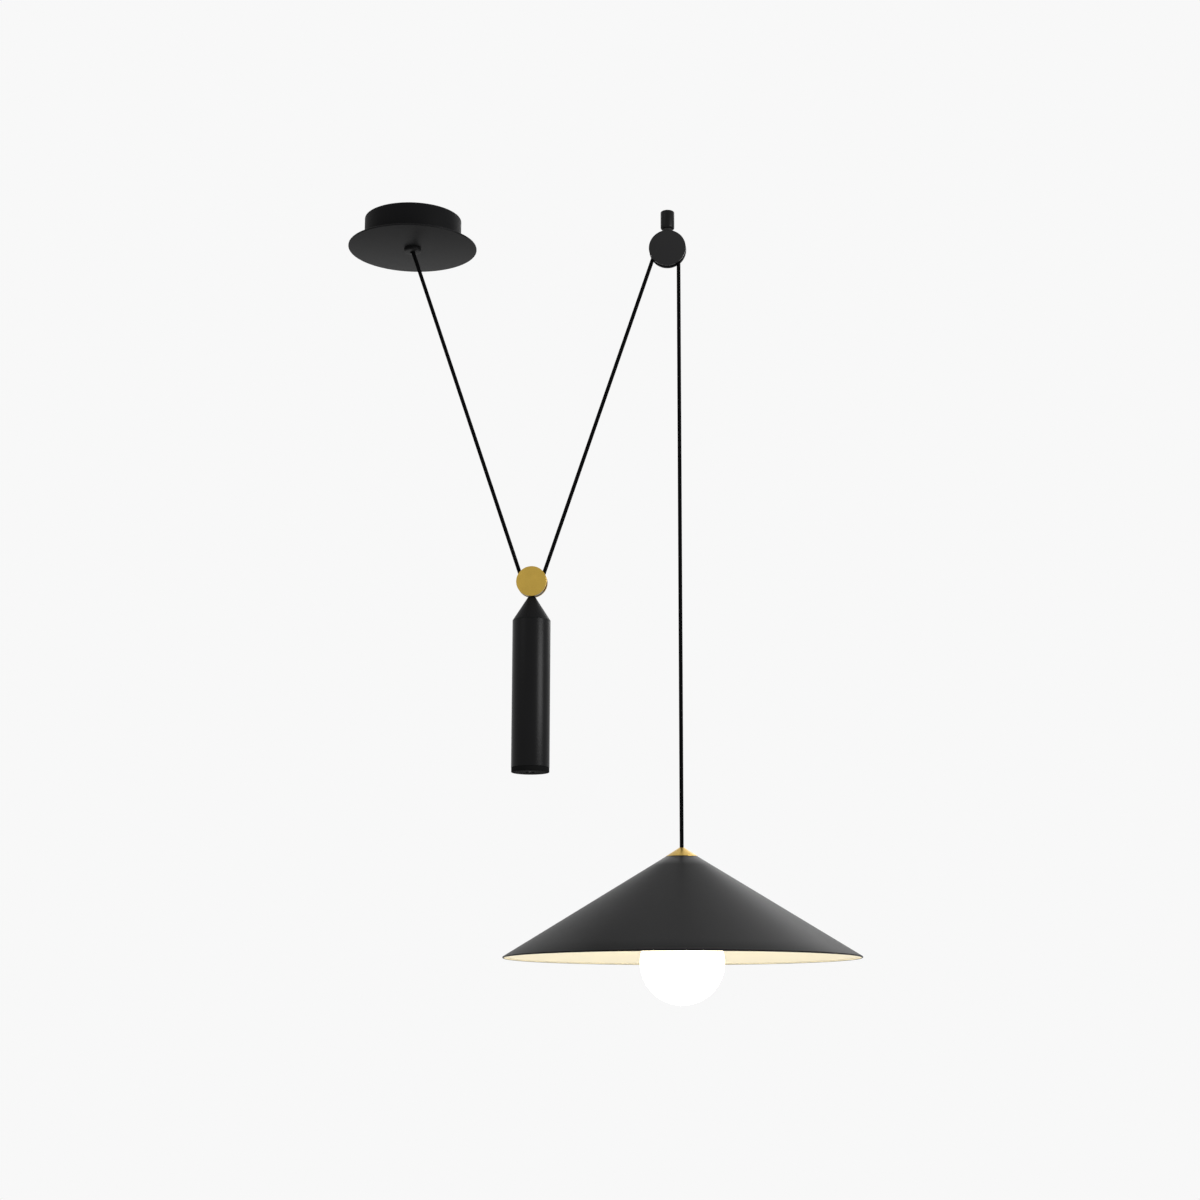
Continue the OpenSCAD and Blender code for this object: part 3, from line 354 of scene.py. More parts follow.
def arc(centre, radius, start, end, steps):
    """Points of an arc, in degrees, counter-clockwise if end is above start."""
    turns = [math.radians(start + (end - start) * i / steps) for i in range(steps + 1)]
    return [(centre[0] + radius * math.cos(a), centre[1] + radius * math.sin(a)) for a in turns]


def soften(outline):
    """A closed outline with rounded corners. A point may carry a radius as its third value."""
    softened = []
    for i, (x, y, *radius) in enumerate(outline):
        here = Vector((x, y))
        if not radius:
            softened.append(tuple(here))
            continue
        before = Vector(outline[i - 1][:2]) - here
        after = Vector(outline[(i + 1) % len(outline)][:2]) - here
        half = before.angle(after) / 2
        reach = min(radius[0] / math.tan(half), before.length * ROUNDING_SHARE,
                    after.length * ROUNDING_SHARE)
        if reach < LEAST_REACH or abs(half - math.pi / 2) < LEAST_HALF_TURN:
            softened.append(tuple(here))
            continue
        before.normalize()
        after.normalize()
        middle = here + (before + after).normalized() * (reach / math.cos(half))
        first, last = here + before * reach - middle, here + after * reach - middle
        turn = first.angle_signed(last)
        for k in range(CORNER_STEPS + 1):
            softened.append(tuple(middle + Matrix.Rotation(-turn * k / CORNER_STEPS, 2) @ first))
    return softened


# ---------------------------------------------------------------- meshes

SHARP = math.radians(32)
# A point of an outline that is closer to the axis than this, in millimetres, lies on it
POLE_R = 1e-4
# A drill is turned about its own axis by this share of the angle of half a side
DRILL_TURN = 0.6


def smooth(mesh):
    for polygon in mesh.polygons:
        polygon.use_smooth = True
    mesh.set_sharp_from_angle(angle=SHARP)


def link(name, bm, *materials):
    """Turns a finished bmesh into an object of the scene."""
    mesh = bpy.data.meshes.new(name)
    bmesh.ops.recalc_face_normals(bm, faces=bm.faces)
    bm.to_mesh(mesh)
    bm.free()
    piece = bpy.data.objects.new(name, mesh)
    bpy.context.scene.collection.objects.link(piece)
    for material in materials:
        mesh.materials.append(MATERIALS[material])
    smooth(mesh)
    return piece


def lathe(name, outline, centre, *materials, to_front=False, steps=96, choose=None):
    """Turns a closed outline of (radius, height) about an axis through centre, in millimetres.

    The axis is Z, and the height grows upwards. With to_front it is Y, and the height grows
    towards -Y. choose(radius, height) gives the number of the material of the faces there.
    """
    bm = bmesh.new()
    cx, cy, cz = centre
    rings = []
    for radius, height in outline:
        ring = []
        for k in range(1 if radius < POLE_R else steps):
            turn = 2 * math.pi * k / steps
            u, v = radius * math.cos(turn), radius * math.sin(turn)
            if to_front:
                place = cx + u, cy - height, cz + v
            else:
                place = cx + u, cy + v, cz + height
            ring.append(bm.verts.new(Vector(place) * MM))
        rings.append(ring)
    for i, ring in enumerate(rings):
        j = (i + 1) % len(rings)
        following = rings[j]
        if len(ring) == 1 and len(following) == 1:
            continue
        middle = [(a + b) / 2 for a, b in zip(outline[i], outline[j])]
        index = choose(*middle) if choose else 0
        for k in range(steps):
            near, far = k, (k + 1) % steps
            corners = [ring[near % len(ring)], ring[far % len(ring)],
                       following[far % len(following)], following[near % len(following)]]
            corners = [c for n, c in enumerate(corners) if c not in corners[:n]]
            bm.faces.new(corners).material_index = index
    return link(name, bm, *materials)


def drill(piece, start, way, radius, depth, sides=32):
    """Cuts a round hole from start along way, in millimetres.

    The drill is turned a little about its axis, so that no edge of it lies on one of the
    piece, which would leave stray faces.
    """
    bm = bmesh.new()
    bmesh.ops.create_cone(bm, cap_ends=True, segments=sides, radius1=radius * MM,
                          radius2=radius * MM, depth=depth * MM)
    mesh = bpy.data.meshes.new("drill")
    bm.to_mesh(mesh)
    bm.free()
    tool = bpy.data.objects.new("drill", mesh)
    bpy.context.scene.collection.objects.link(tool)
    way = Vector(way).normalized()
    place = Matrix.Translation((Vector(start) + way * depth / 2) * MM)
    aim = way.to_track_quat("Z", "Y").to_matrix().to_4x4()
    spin = Matrix.Rotation(DRILL_TURN * math.pi / sides, 4, "Z")
    tool.matrix_world = place @ aim @ spin
    bpy.context.view_layer.update()
    cut = piece.modifiers.new("drill", "BOOLEAN")
    cut.object = tool
    cut.solver = "EXACT"
    evaluated = piece.evaluated_get(bpy.context.evaluated_depsgraph_get())
    drilled = bpy.data.meshes.new_from_object(evaluated)
    piece.modifiers.remove(cut)
    whole = piece.data
    piece.data = drilled
    bpy.data.meshes.remove(whole)
    bpy.data.objects.remove(tool)
    bpy.data.meshes.remove(mesh)
    smooth(piece.data)


def settle(piece, body, node):
    """Puts a finished piece on its body, in place of its CAD node."""
    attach(piece, body)
    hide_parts(node)


# ---------------------------------------------------------------- bodies and fits

CEILING = "ceiling_parts"
CARRIER = "counterweight_carrier"
WEIGHT = "counterweight"
LAMP_LINE = "lamp_line"
LAMP = "lamp"
BULB = "bulb"

# As in the part's source, in millimetres: the gap round the cord, the gap of a screw, a nut or
# a spigot in its seat, and the radii of the pipe thread and of the holes that it passes
CORD_GAP = 0.3
SEAT_GAP = 0.1
PIPE_R = 5.0
PIPE_HOLE_R = PIPE_R + SEAT_GAP

# ---------------------------------------------------------------- the cord

CORD_R = 2.25
CORD_SIDES = 24
# Radii of the cord's bends: in the outlet, above the grip, and on each wheel
OUTLET_BEND = 12.0
TAIL_BEND = 10.0
WHEEL_PITCH = {"ceiling": 13.0, "counterweight": 10.0}
# How far the sheath runs on past the bend above the grip, and how far above the grip that bend
# starts
SHEATH_REACH = 3.0
TAIL_LIFT = 0.5
# The cord leans from a point this far below the middle of the outlet's flange
PIVOT_DROP = 0.1
# Steps along the route, in millimetres, and round a bend, in degrees
LEG_STEP = 8.0
TAIL_STEP = 3.0
END_STEP = 4.0
BEND_STEP = 6.0
TAIL_BEND_STEPS = 12


def pivot_height():
    return (span("outlet_bush").z0 + span("canopy_plate").z0) / 2 - PIVOT_DROP


def cord_lean():
    """Lean of both legs from the vertical: tangent from the outlet to the weight's wheel."""
    wheel = span("counterweight_wheel")
    fall = pivot_height() - wheel.cz
    past_wheel = math.asin(WHEEL_PITCH["counterweight"] / math.hypot(wheel.cx, fall))
    return math.atan2(wheel.cx, fall) - past_wheel


def outlet_bend_height():
    return pivot_height() + OUTLET_BEND * math.tan(cord_lean() / 2)


def straight(a, b, step):
    """Stations along a line: a point and the cord's direction at each."""
    count = max(1, round((b - a).length / step))
    return [(a + (b - a) * i / count, (b - a).normalized()) for i in range(count + 1)]


def round_wheel(centre, radius, start, end):
    """Stations round a wheel in the XZ plane, from angle start to end in degrees."""
    count = max(2, round(abs(end - start) / BEND_STEP))
    sign = 1 if end > start else -1
    stations = []
    for i in range(count + 1):
        a = math.radians(start + (end - start) * i / count)
        stations.append((
            Vector((centre.x + radius * math.cos(a), 0, centre.z + radius * math.sin(a))),
            sign * Vector((-math.sin(a), 0, math.cos(a))),
        ))
    return stations


def canopy_tail(mouth):
    """Stations in the canopy: over the grip, a quarter turn down, and through the outlet."""
    top = span("cord_grip").z1 + TAIL_LIFT + TAIL_BEND
    tail = straight(Vector((0, TAIL_BEND + SHEATH_REACH, top)), Vector((0, TAIL_BEND, top)),
                    TAIL_STEP)
    for i in range(1, TAIL_BEND_STEPS + 1):
        a = math.pi / 2 * i / TAIL_BEND_STEPS
        tail.append((
            Vector((0, TAIL_BEND * (1 - math.sin(a)), top - TAIL_BEND * (1 - math.cos(a)))),
            Vector((0, -math.cos(a), -math.sin(a))),
        ))
    return tail + straight(tail[-1][0], mouth[0][0], TAIL_STEP)[1:] + mouth[1:]


def cord_stations():
    """The cord's route. It is taut, so it runs straight between the wheels that it touches."""
    ceiling, weight = span("ceiling_wheel"), span("counterweight_wheel")
    lean = math.degrees(cord_lean())
    bend = Vector((OUTLET_BEND, 0, outlet_bend_height()))
    low = Vector((weight.cx, 0, weight.cz))
    high = Vector((ceiling.cx, 0, ceiling.cz))
    mouth = round_wheel(bend, OUTLET_BEND, 180, 180 + lean)
    under = round_wheel(low, WHEEL_PITCH["counterweight"], 180 + lean, 360 - lean)
    over = round_wheel(high, WHEEL_PITCH["ceiling"], 180 - lean, 0)
    cap_tip = Vector((over[-1][0].x, 0, span("shade_cap").z1))
    ferrule = Vector((cap_tip.x, 0, span("lamp_cord_ferrule").z0))
    return {
        "tail": canopy_tail(mouth),
        "left_leg": straight(mouth[-1][0], under[0][0], LEG_STEP),
        "counterweight_wrap": under,
        "right_leg": straight(under[-1][0], over[0][0], LEG_STEP),
        "ceiling_wrap": over,
        "drop": straight(over[-1][0], cap_tip, LEG_STEP),
        "lamp_end": straight(cap_tip, ferrule, END_STEP),
    }


def tube(name, stations, side, start):
    """Cord along stations in millimetres. Its map runs round it, and along it in metres.

    The map's length goes on from start, and the length that it has reached is returned too.
    """
    bm = bmesh.new()
    rings, lengths = [], []
    length = start
    before = stations[0][0]
    turns = [2 * math.pi * k / CORD_SIDES for k in range(CORD_SIDES)]
    for place, way in stations:
        side = (side - side.dot(way) * way).normalized()
        other = way.cross(side)
        length += (place - before).length * MM
        before = place
        lengths.append(length)
        rings.append([
            bm.verts.new((place + CORD_R * (math.cos(a) * side + math.sin(a) * other)) * MM)
            for a in turns
        ])
    layer = bm.loops.layers.uv.new("UVMap")
    for i in range(len(rings) - 1):
        for k in range(CORD_SIDES):
            j = (k + 1) % CORD_SIDES
            face = bm.faces.new((rings[i][k], rings[i + 1][k], rings[i + 1][j], rings[i][j]))
            corners = ((k, i), (k, i + 1), (k + 1, i + 1), (k + 1, i))
            for loop, (u, v) in zip(face.loops, corners):
                loop[layer].uv = (u / CORD_SIDES, lengths[v])
    bm.faces.new(rings[0])
    bm.faces.new(list(reversed(rings[-1])))
    return link(name, bm, "cord"), length


def even_stretch(piece, a, b, start, end):
    """Blends a straight stretch between two bodies so that it stays straight as they part."""
    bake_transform(piece, a, b, start, end)
    along = end - start
    weights = piece.data.attributes["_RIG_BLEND"].data
    for vertex, weight in zip(piece.data.vertices, weights):
        share = (vertex.co - start).dot(along) / along.length_squared
        weight.value = min(1.0, max(0.0, share))


# Each stretch that two bodies hold: its first and last body, and the pieces of the same cord
# that belong to it
STRETCHES = {
    "left_leg": (CEILING, CARRIER, ("tail", "counterweight_wrap")),
    "right_leg": (CARRIER, CEILING, ()),
    "drop": (LAMP_LINE, LAMP, ("ceiling_wrap", "lamp_end")),
}
HELD_BY = {
    "tail": CEILING,
    "counterweight_wrap": CARRIER,
    "ceiling_wrap": CEILING,
    "lamp_end": LAMP,
}


def make_cord():
    stations = cord_stations()
    made, length = {}, 0.0
    for name, route in stations.items():
        side = Vector((0, 0, 1)) if name == "tail" else Vector((0, 1, 0))
        made[name], length = tube(f"{name}_braid", route, side, length)
        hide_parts(f"cord_{name}")
        if name in HELD_BY:
            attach(made[name], HELD_BY[name])
    for name, (first, last, others) in STRETCHES.items():
        path = [place * MM for place, _ in stations[name]]
        even_stretch(made[name], first, last, path[0], path[-1])


# ---------------------------------------------------------------- canopy

DRUM_WALL = 1.2
# A ring of points lies this far outside the outlet's mouth, on its flat foot
MOUTH_EDGE = 0.6


def make_drum():
    d, screws = span("canopy_drum"), span("bracket_side_screws")
    floor = d.z0 + DRUM_WALL
    piece = lathe("canopy_drum_shell", soften([
        (d.r, d.z1, 0.3), (d.r, d.z0, 1.6), (PIPE_HOLE_R, d.z0), (PIPE_HOLE_R, floor),
        (d.r - DRUM_WALL, floor, 0.8), (d.r - DRUM_WALL, d.z1, 0.3),
    ]), (d.cx, 0, 0), "drum_black", steps=160)
    for s in (-1, 1):
        drill(piece, (s * (d.r + 1), 0, screws.cz), (-s, 0, 0), screws.h / 2 + SEAT_GAP,
              DRUM_WALL + 3)
    settle(piece, CEILING, "canopy_drum")


def make_plate():
    d = span("canopy_plate")
    piece = lathe("canopy_flange", soften([
        (PIPE_HOLE_R, d.z1), (d.r, d.z1, 0.7), (d.r, d.z0, 0.7), (PIPE_HOLE_R, d.z0),
    ]), (d.cx, 0, 0), "black_coat", steps=200)
    settle(piece, CEILING, "canopy_plate")


def make_outlet():
    """The outlet's mouth opens along the cord's bend, and its stub runs up into the drum."""
    d, plate = span("outlet_bush"), span("canopy_plate")
    bore = CORD_R + CORD_GAP
    bend_z = outlet_bend_height()
    mouth_r = OUTLET_BEND - bore
    turn = math.degrees(math.asin((bend_z - d.z0) / mouth_r))
    mouth = arc((OUTLET_BEND, bend_z), mouth_r, 180 + turn, 180, 10)
    flange = soften([(PIPE_R, plate.z0), (d.r, plate.z0, 0.2), (d.r, d.z0, 1.2),
                     (mouth[0][0] + MOUTH_EDGE, d.z0)])
    outline = [(bore, d.z1), (PIPE_R, d.z1), *flange, *mouth]
    piece = lathe("cord_outlet", outline, (d.cx, 0, 0), "black_plastic", steps=72)
    settle(piece, CEILING, "outlet_bush")


# ---------------------------------------------------------------- pulleys

# The stem's threaded hole, and the socket for the stud below it: radius and depth
STEM_HOLE_R, STEM_HOLE_DEPTH = 3.4, 10.0
STEM_SOCKET_R, STEM_SOCKET_DEPTH = 3.1, 9.5
# Blind threads in the front discs: how much of a disc's thickness they reach through, their
# gap, the radii of what they hold, and the radius of the screws' heads
THREAD_SHARE = 0.7
THREAD_GAP = 0.05
AXLE_TIP_R = 2.0
BLOCK_SCREW_R = 1.25
BLOCK_SCREW_HEAD_R = 1.8


def make_stem():
    d, grub = span("ceiling_stem"), span("ceiling_grub_screw")
    hole_foot, socket_top = d.z1 - STEM_HOLE_DEPTH, d.z0 + STEM_SOCKET_DEPTH
    piece = lathe("pulley_stem", soften([
        (STEM_HOLE_R, d.z1, 0.5), (d.r, d.z1, 1.6), (d.r, d.z0, 2.4), (STEM_SOCKET_R, d.z0),
        (STEM_SOCKET_R, socket_top), (0, socket_top), (0, hole_foot), (STEM_HOLE_R, hole_foot),
    ]), (d.cx, 0, 0), "satin_black")
    drill(piece, (d.cx, d.r + 1, grub.cz), (0, -1, 0), grub.r + THREAD_GAP, d.r)
    settle(piece, CEILING, "ceiling_stem")


def make_front_disc(name, pulley, body, material, edge):
    """The disc in front of a wheel: plain outside, blind inside for the axle and the screws."""
    node = f"{pulley}_front_cheek"
    d, screws = span(node), span(f"{pulley}_block_screws")
    thick = d.y1 - d.y0
    deep = thick * THREAD_SHARE + THREAD_GAP
    bore = AXLE_TIP_R + THREAD_GAP
    piece = lathe(name, soften([
        (0, deep), (bore, deep), (bore, 0), (d.r, 0, 0.2), (d.r, thick, edge), (0, thick),
    ]), (d.cx, d.y1, d.cz), material, to_front=True, steps=128)
    for x in (screws.x0 + BLOCK_SCREW_HEAD_R, screws.x1 - BLOCK_SCREW_HEAD_R):
        drill(piece, (x, d.y1 + 1, screws.cz), (0, -1, 0), BLOCK_SCREW_R + THREAD_GAP,
              1 + deep, 24)
    settle(piece, body, node)


def make_front_discs():
    make_front_disc("pulley_front_disc", "ceiling", CEILING, "pulley_black", 0.6)
    make_front_disc("brass_front_disc", "counterweight", WEIGHT, "brass_disc", 0.35)


# ---------------------------------------------------------------- counterweight

NOSE_TIP_R = 4.2
ROD_HOLE_R = 2.1
TUBE_WALL = 2.0
# Recess in the bottom cap for the tie rod's nut
RECESS_R, RECESS_DEPTH = 5.0, 4.4


def make_weight():
    nose, shell, cap = span("nose_cone"), span("weight_tube"), span("bottom_cap")
    centre = (nose.cx, 0, 0)
    bore = shell.r - TUBE_WALL
    spigot = bore - SEAT_GAP
    piece = lathe("weight_nose", soften([
        (ROD_HOLE_R, nose.z1, 0.2), (NOSE_TIP_R, nose.z1, 0.5), (nose.r, shell.z1 + 0.15, 0.5),
        (nose.r, shell.z1), (spigot, shell.z1), (spigot, nose.z0), (ROD_HOLE_R, nose.z0),
    ]), centre, "black_coat", steps=120)
    settle(piece, WEIGHT, "nose_cone")
    piece = lathe("weight_tube_shell", soften([
        (shell.r, shell.z1, 0.35), (shell.r, shell.z0, 0.35), (bore, shell.z0), (bore, shell.z1),
    ]), centre, "satin_black", steps=120)
    settle(piece, WEIGHT, "weight_tube")
    recess_top = cap.z0 + RECESS_DEPTH
    piece = lathe("weight_cap", soften([
        (ROD_HOLE_R, cap.z1), (spigot, cap.z1), (spigot, shell.z0), (cap.r, shell.z0, 0.35),
        (cap.r, cap.z0, 0.7), (RECESS_R, cap.z0, 0.3), (RECESS_R, recess_top),
        (ROD_HOLE_R, recess_top),
    ]), centre, "matt_black", steps=120)
    settle(piece, WEIGHT, "bottom_cap")


# ---------------------------------------------------------------- lamp

CAP_TIP_R = 3.0
SHEET = 0.8
BEAD_R = 0.9
# Rows of faces along the shade's slope
SHADE_ROWS = 10
# A face is on the sheet's inner side if it lies deeper than this share of the sheet, and the
# cream ends this share of the bead's radius inside the bead's middle
INNER_SHARE = 0.6
CREAM_END_SHARE = 0.88


def make_cap():
    d, nipple = span("shade_cap"), span("shade_nipple")
    bore, seat = CORD_R + SEAT_GAP, nipple.z1 + SEAT_GAP
    piece = lathe("brass_cap_cone", soften([
        (bore, d.z1, 0.15), (CAP_TIP_R, d.z1, 0.35), (d.r, d.z0 + 0.3, 0.3), (d.r, d.z0),
        (PIPE_HOLE_R, d.z0), (PIPE_HOLE_R, seat), (bore, seat),
    ]), (d.cx, 0, 0), "brass_cap")
    settle(piece, LAMP, "shade_cap")


def make_shade():
    """One sheet: black outside with its rolled bead, cream inside from the bead up."""
    d, cap = span("shade"), span("shade_cap")
    top = Vector((cap.r, d.z1))
    bead = Vector((d.r - BEAD_R, d.z0 + BEAD_R))
    run, fall = bead.x - top.x, top.y - bead.y
    slope = math.atan2(fall, run) - math.asin(BEAD_R / math.hypot(run, fall))
    outer_turn = 90 - math.degrees(slope)
    sweep = 270 + math.degrees(math.asin((BEAD_R - SHEET) / BEAD_R))
    rim = arc(bead, BEAD_R, outer_turn, outer_turn - sweep, 20)
    inner_top = Vector((cap.r - SHEET * math.tan(slope / 2), d.z1 - SHEET))

    def row(start, end, i):
        return tuple(Vector(start).lerp(Vector(end), i / SHADE_ROWS))

    outline = [
        (PIPE_HOLE_R, d.z1), tuple(top),
        *(row(top, rim[0], i) for i in range(1, SHADE_ROWS)),
        *rim,
        *(row(rim[-1], inner_top, i) for i in range(1, SHADE_ROWS + 1)),
        (PIPE_HOLE_R, d.z1 - SHEET),
    ]
    outward = Vector((math.sin(slope), math.cos(slope)))
    depth = SHEET * INNER_SHARE
    cream_end = bead.x - BEAD_R * CREAM_END_SHARE

    def coat(radius, height):
        """1, cream, on the sheet's inner side up to the bead, and 0, black, elsewhere."""
        inside = (Vector((radius, height)) - top).dot(outward) < -depth
        under_cap = radius < cap.r and height < d.z1 - depth
        return 1 if (inside and radius < cream_end) or under_cap else 0

    piece = lathe("shade_cone", outline, (d.cx, 0, 0), "black_coat", "cream", steps=288,
                  choose=coat)
    settle(piece, LAMP, "shade")


# ---------------------------------------------------------------- lampholder

HOLDER_NECK_R, HOLDER_NECK_H = 9.0, 4.6
HOLDER_WALL = 2.0
SPIGOT_WALL = 1.4
HOLDER_LIP_R = 15.1
# The skirt's ledge holds the threaded shell's flange under the core
FLANGE = 0.6
LEDGE = 2.0


def make_lampholder():
    cap, skirt, core = span("lampholder_cap"), span("lampholder_skirt"), span("lampholder_core")
    axis = (cap.cx, 0, 0)
    neck, neck_z = HOLDER_NECK_R, cap.z1 - HOLDER_NECK_H
    piece = lathe("holder_cap", soften([
        (PIPE_HOLE_R, cap.z1, 0.2), (neck, cap.z1, 0.8), (neck, neck_z, 1.5),
        (cap.r - 3, neck_z - 6, 4), (cap.r, neck_z - 9, 3), (cap.r, cap.z0, 0.4),
        (cap.r - HOLDER_WALL, cap.z0), (cap.r - HOLDER_WALL, neck_z - 9.6),
        (cap.r - 4, neck_z - 8), (neck - 2, neck_z - 1.6), (neck - 2, neck_z),
        (PIPE_HOLE_R, neck_z),
    ]), axis, "black_plastic")
    settle(piece, LAMP, "lampholder_cap")
    bore = skirt.r - HOLDER_WALL
    spigot = bore - SEAT_GAP
    inner = spigot - SPIGOT_WALL
    joint = cap.z0 - SEAT_GAP
    ledge = core.z0 - FLANGE - SEAT_GAP
    piece = lathe("holder_skirt", soften([
        (inner, skirt.z1), (spigot, skirt.z1), (spigot, joint), (skirt.r, joint, 0.4),
        (skirt.r, skirt.z0, 1.2), (HOLDER_LIP_R, skirt.z0, 0.4),
        (HOLDER_LIP_R, skirt.z0 + 2), (bore, skirt.z0 + 2), (bore, ledge - LEDGE),
        (HOLDER_LIP_R, ledge - LEDGE), (HOLDER_LIP_R, ledge), (inner, ledge),
    ]), axis, "black_plastic")
    settle(piece, LAMP, "lampholder_skirt")


# ---------------------------------------------------------------- bulb

GLASS = 1.2
NECK_R = 14.5
NECK_FILLET = 24.0
# Screw cap: its thread's outer radius, depth, pitch and turns, how finely that is drawn, the
# skirt at its foot, and the bore inside it
THREAD_R, THREAD_DEEP, THREAD_PITCH, THREAD_TURNS = 13.0, 0.7, 3.5, 5
THREAD_SIDES, ROWS_PER_TURN = 64, 10
SKIRT_R, SKIRT_H = 13.9, 2.5
SCREW_CAP_BORE_R = 11.0


def make_globe():
    """A globe that a fillet leads into its neck, hollow, with one wall all over."""
    d = span("bulb_globe")
    middle = d.z0 + d.r
    reach = NECK_R + NECK_FILLET
    waist = middle + math.sqrt((d.r + NECK_FILLET) ** 2 - reach ** 2)
    turn = math.degrees(math.atan2(waist - middle, reach))
    outer = arc((0, middle), d.r, -90, turn, 60)
    outer += arc((reach, waist), NECK_FILLET, 180 + turn, 180, 14)[1:]
    inner = arc((reach, waist), NECK_FILLET + GLASS, 180, 180 + turn, 14)
    inner += arc((0, middle), d.r - GLASS, turn, -90, 60)[1:]
    outer[0], inner[-1] = (0, d.z0), (0, d.z0 + GLASS)
    outline = [*outer, (NECK_R, d.z1), (NECK_R - GLASS, d.z1), *inner]
    piece = lathe("globe_glass", outline, (d.cx, 0, 0), "opal", steps=128)
    settle(piece, BULB, "bulb_globe")


def make_screw_cap():
    """Screw cap with a real thread: its radius follows a helix round and along it."""
    d = span("bulb_cap")
    foot = d.z0 + SKIRT_H
    rows = THREAD_TURNS * ROWS_PER_TURN
    angles = [2 * math.pi * k / THREAD_SIDES for k in range(THREAD_SIDES)]

    def plain(radius, z):
        return [(radius, z)] * THREAD_SIDES

    def threaded(i):
        z = foot + THREAD_PITCH * i / ROWS_PER_TURN
        fade = min(1.0, i / ROWS_PER_TURN, (rows - i) / ROWS_PER_TURN)
        waves = (0.5 + 0.5 * math.cos(2 * math.pi * i / ROWS_PER_TURN - a) for a in angles)
        return [(THREAD_R - THREAD_DEEP * (1 - fade * (1 - wave)), z) for wave in waves]

    rings = [
        plain(SKIRT_R, d.z0), plain(THREAD_R - 0.4, foot - 0.6),
        *(threaded(i) for i in range(rows + 1)),
        plain(THREAD_R - 1.0, d.z1 - 0.5), plain(THREAD_R - 1.5, d.z1),
        plain(SCREW_CAP_BORE_R, d.z1), plain(SCREW_CAP_BORE_R, d.z0 + 2.6),
        plain(THREAD_R - 1.0, d.z0),
    ]
    bm = bmesh.new()
    made = [[bm.verts.new(Vector((d.cx + r * math.cos(a), r * math.sin(a), z)) * MM)
             for (r, z), a in zip(ring, angles)] for ring in rings]
    for i, ring in enumerate(made):
        following = made[(i + 1) % len(made)]
        for k in range(THREAD_SIDES):
            j = (k + 1) % THREAD_SIDES
            bm.faces.new((ring[k], ring[j], following[j], following[k]))
    piece = link("screw_cap_shell", bm, "steel")
    settle(piece, BULB, "bulb_cap")


# ---------------------------------------------------------------- CAD nodes that stay

KEPT = {
    "pulley_black": ("ceiling_hanger", "ceiling_rear_cheek"),
    "black_plastic": ("ceiling_wheel", "counterweight_wheel", "bulb_insulator"),
    "steel": (
        "ceiling_bracket", "outlet_nut", "cord_grip_screws", "terminal_screws",
        "ceiling_axle", "ceiling_block_screws", "counterweight_axle",
        "counterweight_block_screws", "ballast_slugs", "shade_nipple",
        "shade_washer", "shade_nut",
    ),
    "black_steel": (
        "bracket_side_screws", "ceiling_grub_screw", "counterweight_block", "tie_rod", "tie_nut",
    ),
    "brass_disc": ("counterweight_rear_cheek",),
    "plain_brass": (
        "cord_grip", "terminal_inserts", "earth_screw", "ceiling_bush", "counterweight_bush",
        "lampholder_shell", "lampholder_contact", "lamp_cord_ferrule", "bulb_contact",
    ),
    "white_plastic": ("terminal_block", "bulb_led_module"),
    "porcelain": ("lampholder_core",),
    "lead": ("canopy_leads", "lamp_leads"),
}
EDGE = 0.2 * MM


def dress_kept_nodes():
    """Gives each CAD node that stays its material, and breaks its sharp edges."""
    for material, names in KEPT.items():
        for name in names:
            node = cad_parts[name]
            node.data.materials.clear()
            node.data.materials.append(MATERIALS[material])
            edge = node.modifiers.new("edge", "BEVEL")
            edge.width = EDGE
            edge.segments = 2
            edge.limit_method = "ANGLE"
            edge.angle_limit = SHARP
            edge.harden_normals = True


# ---------------------------------------------------------------- room and light

PAPER = (0.939, 0.939, 0.939, 1)
WHITE = (1, 1, 1, 1)
WORLD_FILL = 0.75
# The floor lies far enough below to leave the view from underneath free
FLOOR_Z = -3.2
FLOOR_X = 0.2
FLOOR_SIZE = 18.0
FLOOR_PAPER = 0.6


def make_world():
    """Even white light, and paper where the camera, a reflection or glass sees the world."""
    world = bpy.data.worlds.new("world")
    bpy.context.scene.world = world
    world.use_nodes = True
    tree = world.node_tree
    tree.nodes.clear()
    path = add_node(tree, "ShaderNodeLightPath").outputs
    seen = add_node(tree, "ShaderNodeMath", {"operation": "MAXIMUM"},
                    i0=path["Is Camera Ray"], i1=path["Is Glossy Ray"]).outputs[0]
    seen = add_node(tree, "ShaderNodeMath", {"operation": "MAXIMUM"},
                    i0=seen, i1=path["Is Transmission Ray"]).outputs[0]
    fill = add_node(tree, "ShaderNodeBackground", Color=WHITE, Strength=WORLD_FILL)
    paper = add_node(tree, "ShaderNodeBackground", Color=PAPER, Strength=1.0)
    mix = add_node(tree, "ShaderNodeMixShader", i0=seen, i1=fill.outputs[0], i2=paper.outputs[0])
    add_node(tree, "ShaderNodeOutputWorld", Surface=mix.outputs[0])


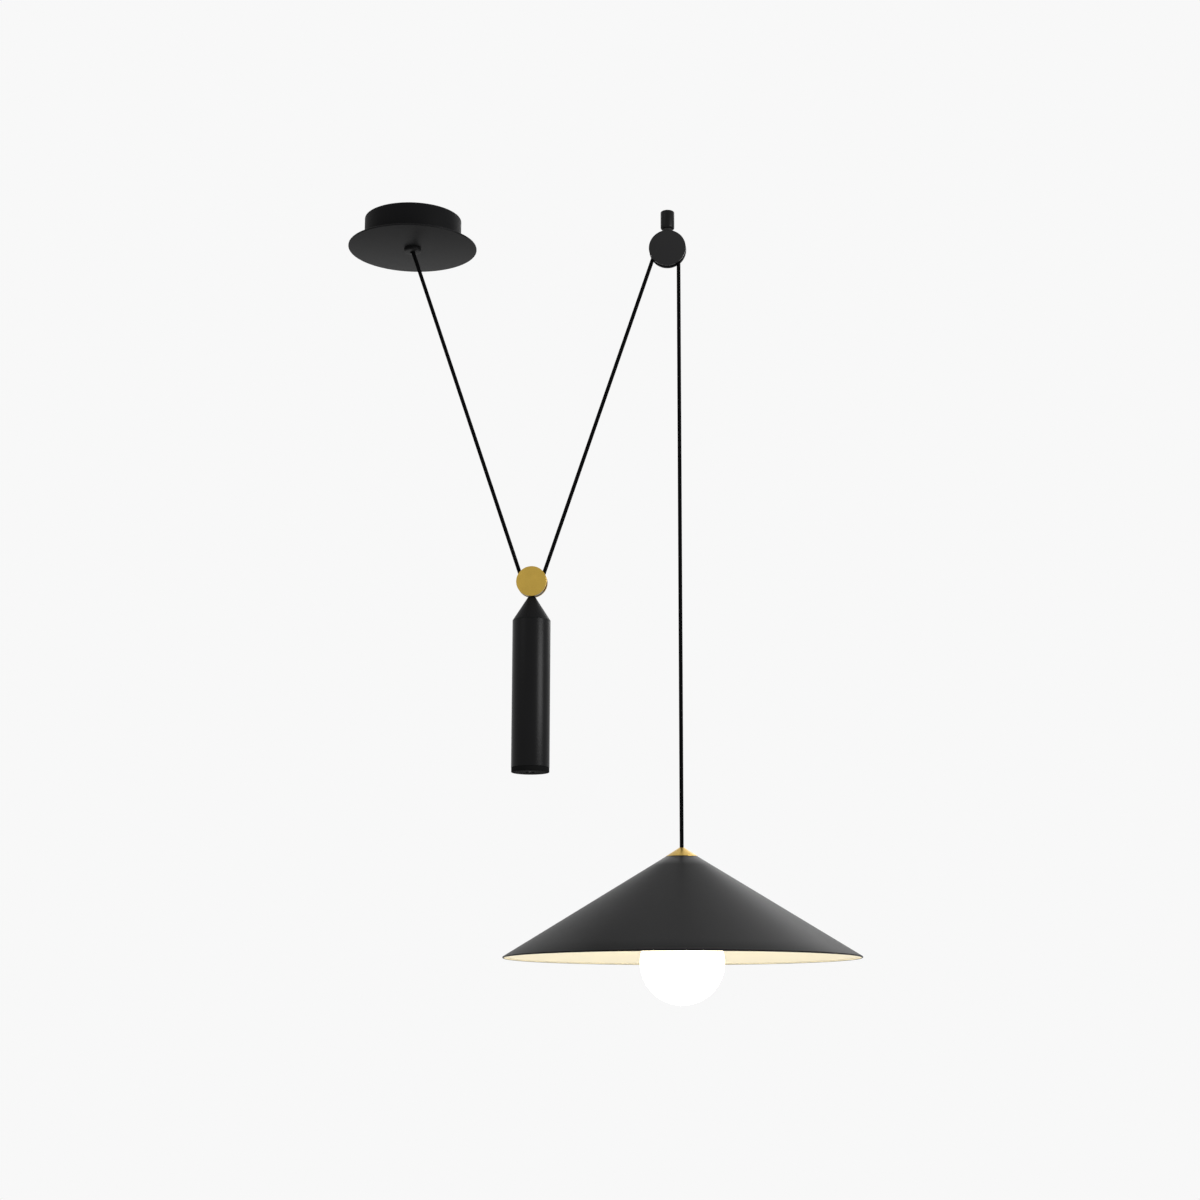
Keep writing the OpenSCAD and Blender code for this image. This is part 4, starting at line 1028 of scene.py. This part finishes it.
def make_floor():
    """A wide pale floor, which takes shadows and shows the camera some of the paper."""
    bm = bmesh.new()
    bmesh.ops.create_circle(bm, cap_ends=True, segments=96, radius=FLOOR_SIZE / 2)
    mesh = bpy.data.meshes.new("floor")
    bm.to_mesh(mesh)
    bm.free()
    floor = bpy.data.objects.new("floor", mesh)
    floor.location = (FLOOR_X, 0, FLOOR_Z)
    bpy.context.scene.collection.objects.link(floor)
    n = Nodes("floor_paper", Roughness=0.9, Specular_IOR_Level=0.1)
    n.set("Base Color", (0.9, 0.9, 0.9, 1))
    paper = n.add("ShaderNodeEmission", Color=PAPER, Strength=1.0)
    seen = n.add("ShaderNodeLightPath").outputs["Is Camera Ray"]
    mix = n.add("ShaderNodeMixShader", i0=n.math("MULTIPLY", seen, FLOOR_PAPER),
                i1=n.shader.outputs[0], i2=paper.outputs[0])
    output = n.tree.nodes["Material Output"]
    n.tree.links.new(mix.outputs[0], output.inputs["Surface"])
    mesh.materials.append(n.material)


def area_light(name, place, target, size, watts):
    data = bpy.data.lights.new(name, "AREA")
    data.shape = "RECTANGLE"
    data.size, data.size_y = size
    data.energy = watts
    lamp = bpy.data.objects.new(name, data)
    lamp.location = place
    lamp.visible_camera = False
    lamp.rotation_euler = (Vector(target) - Vector(place)).to_track_quat("-Z", "Y").to_euler()
    bpy.context.scene.collection.objects.link(lamp)


def make_lights():
    whole, shade = (0.15, 0, -0.45), (0.3, 0, -0.8)
    area_light("key", (-2.4, -2.4, 1.6), whole, (2.0, 2.0), 14)
    area_light("side", (2.4, -1.05, -0.05), whole, (1.2, 1.0), 50)
    area_light("back", (0.75, 2.4, 0.5), shade, (2.4, 0.7), 11)
    area_light("above", (0.8, 2.0, 1.5), shade, (2.2, 1.6), 8)


bpy.context.scene.view_settings.view_transform = "Standard"
make_camera()
make_cord()
make_drum()
make_plate()
make_outlet()
make_stem()
make_front_discs()
make_weight()
make_cap()
make_shade()
make_lampholder()
make_globe()
make_screw_cap()
dress_kept_nodes()
make_world()
make_floor()
make_lights()
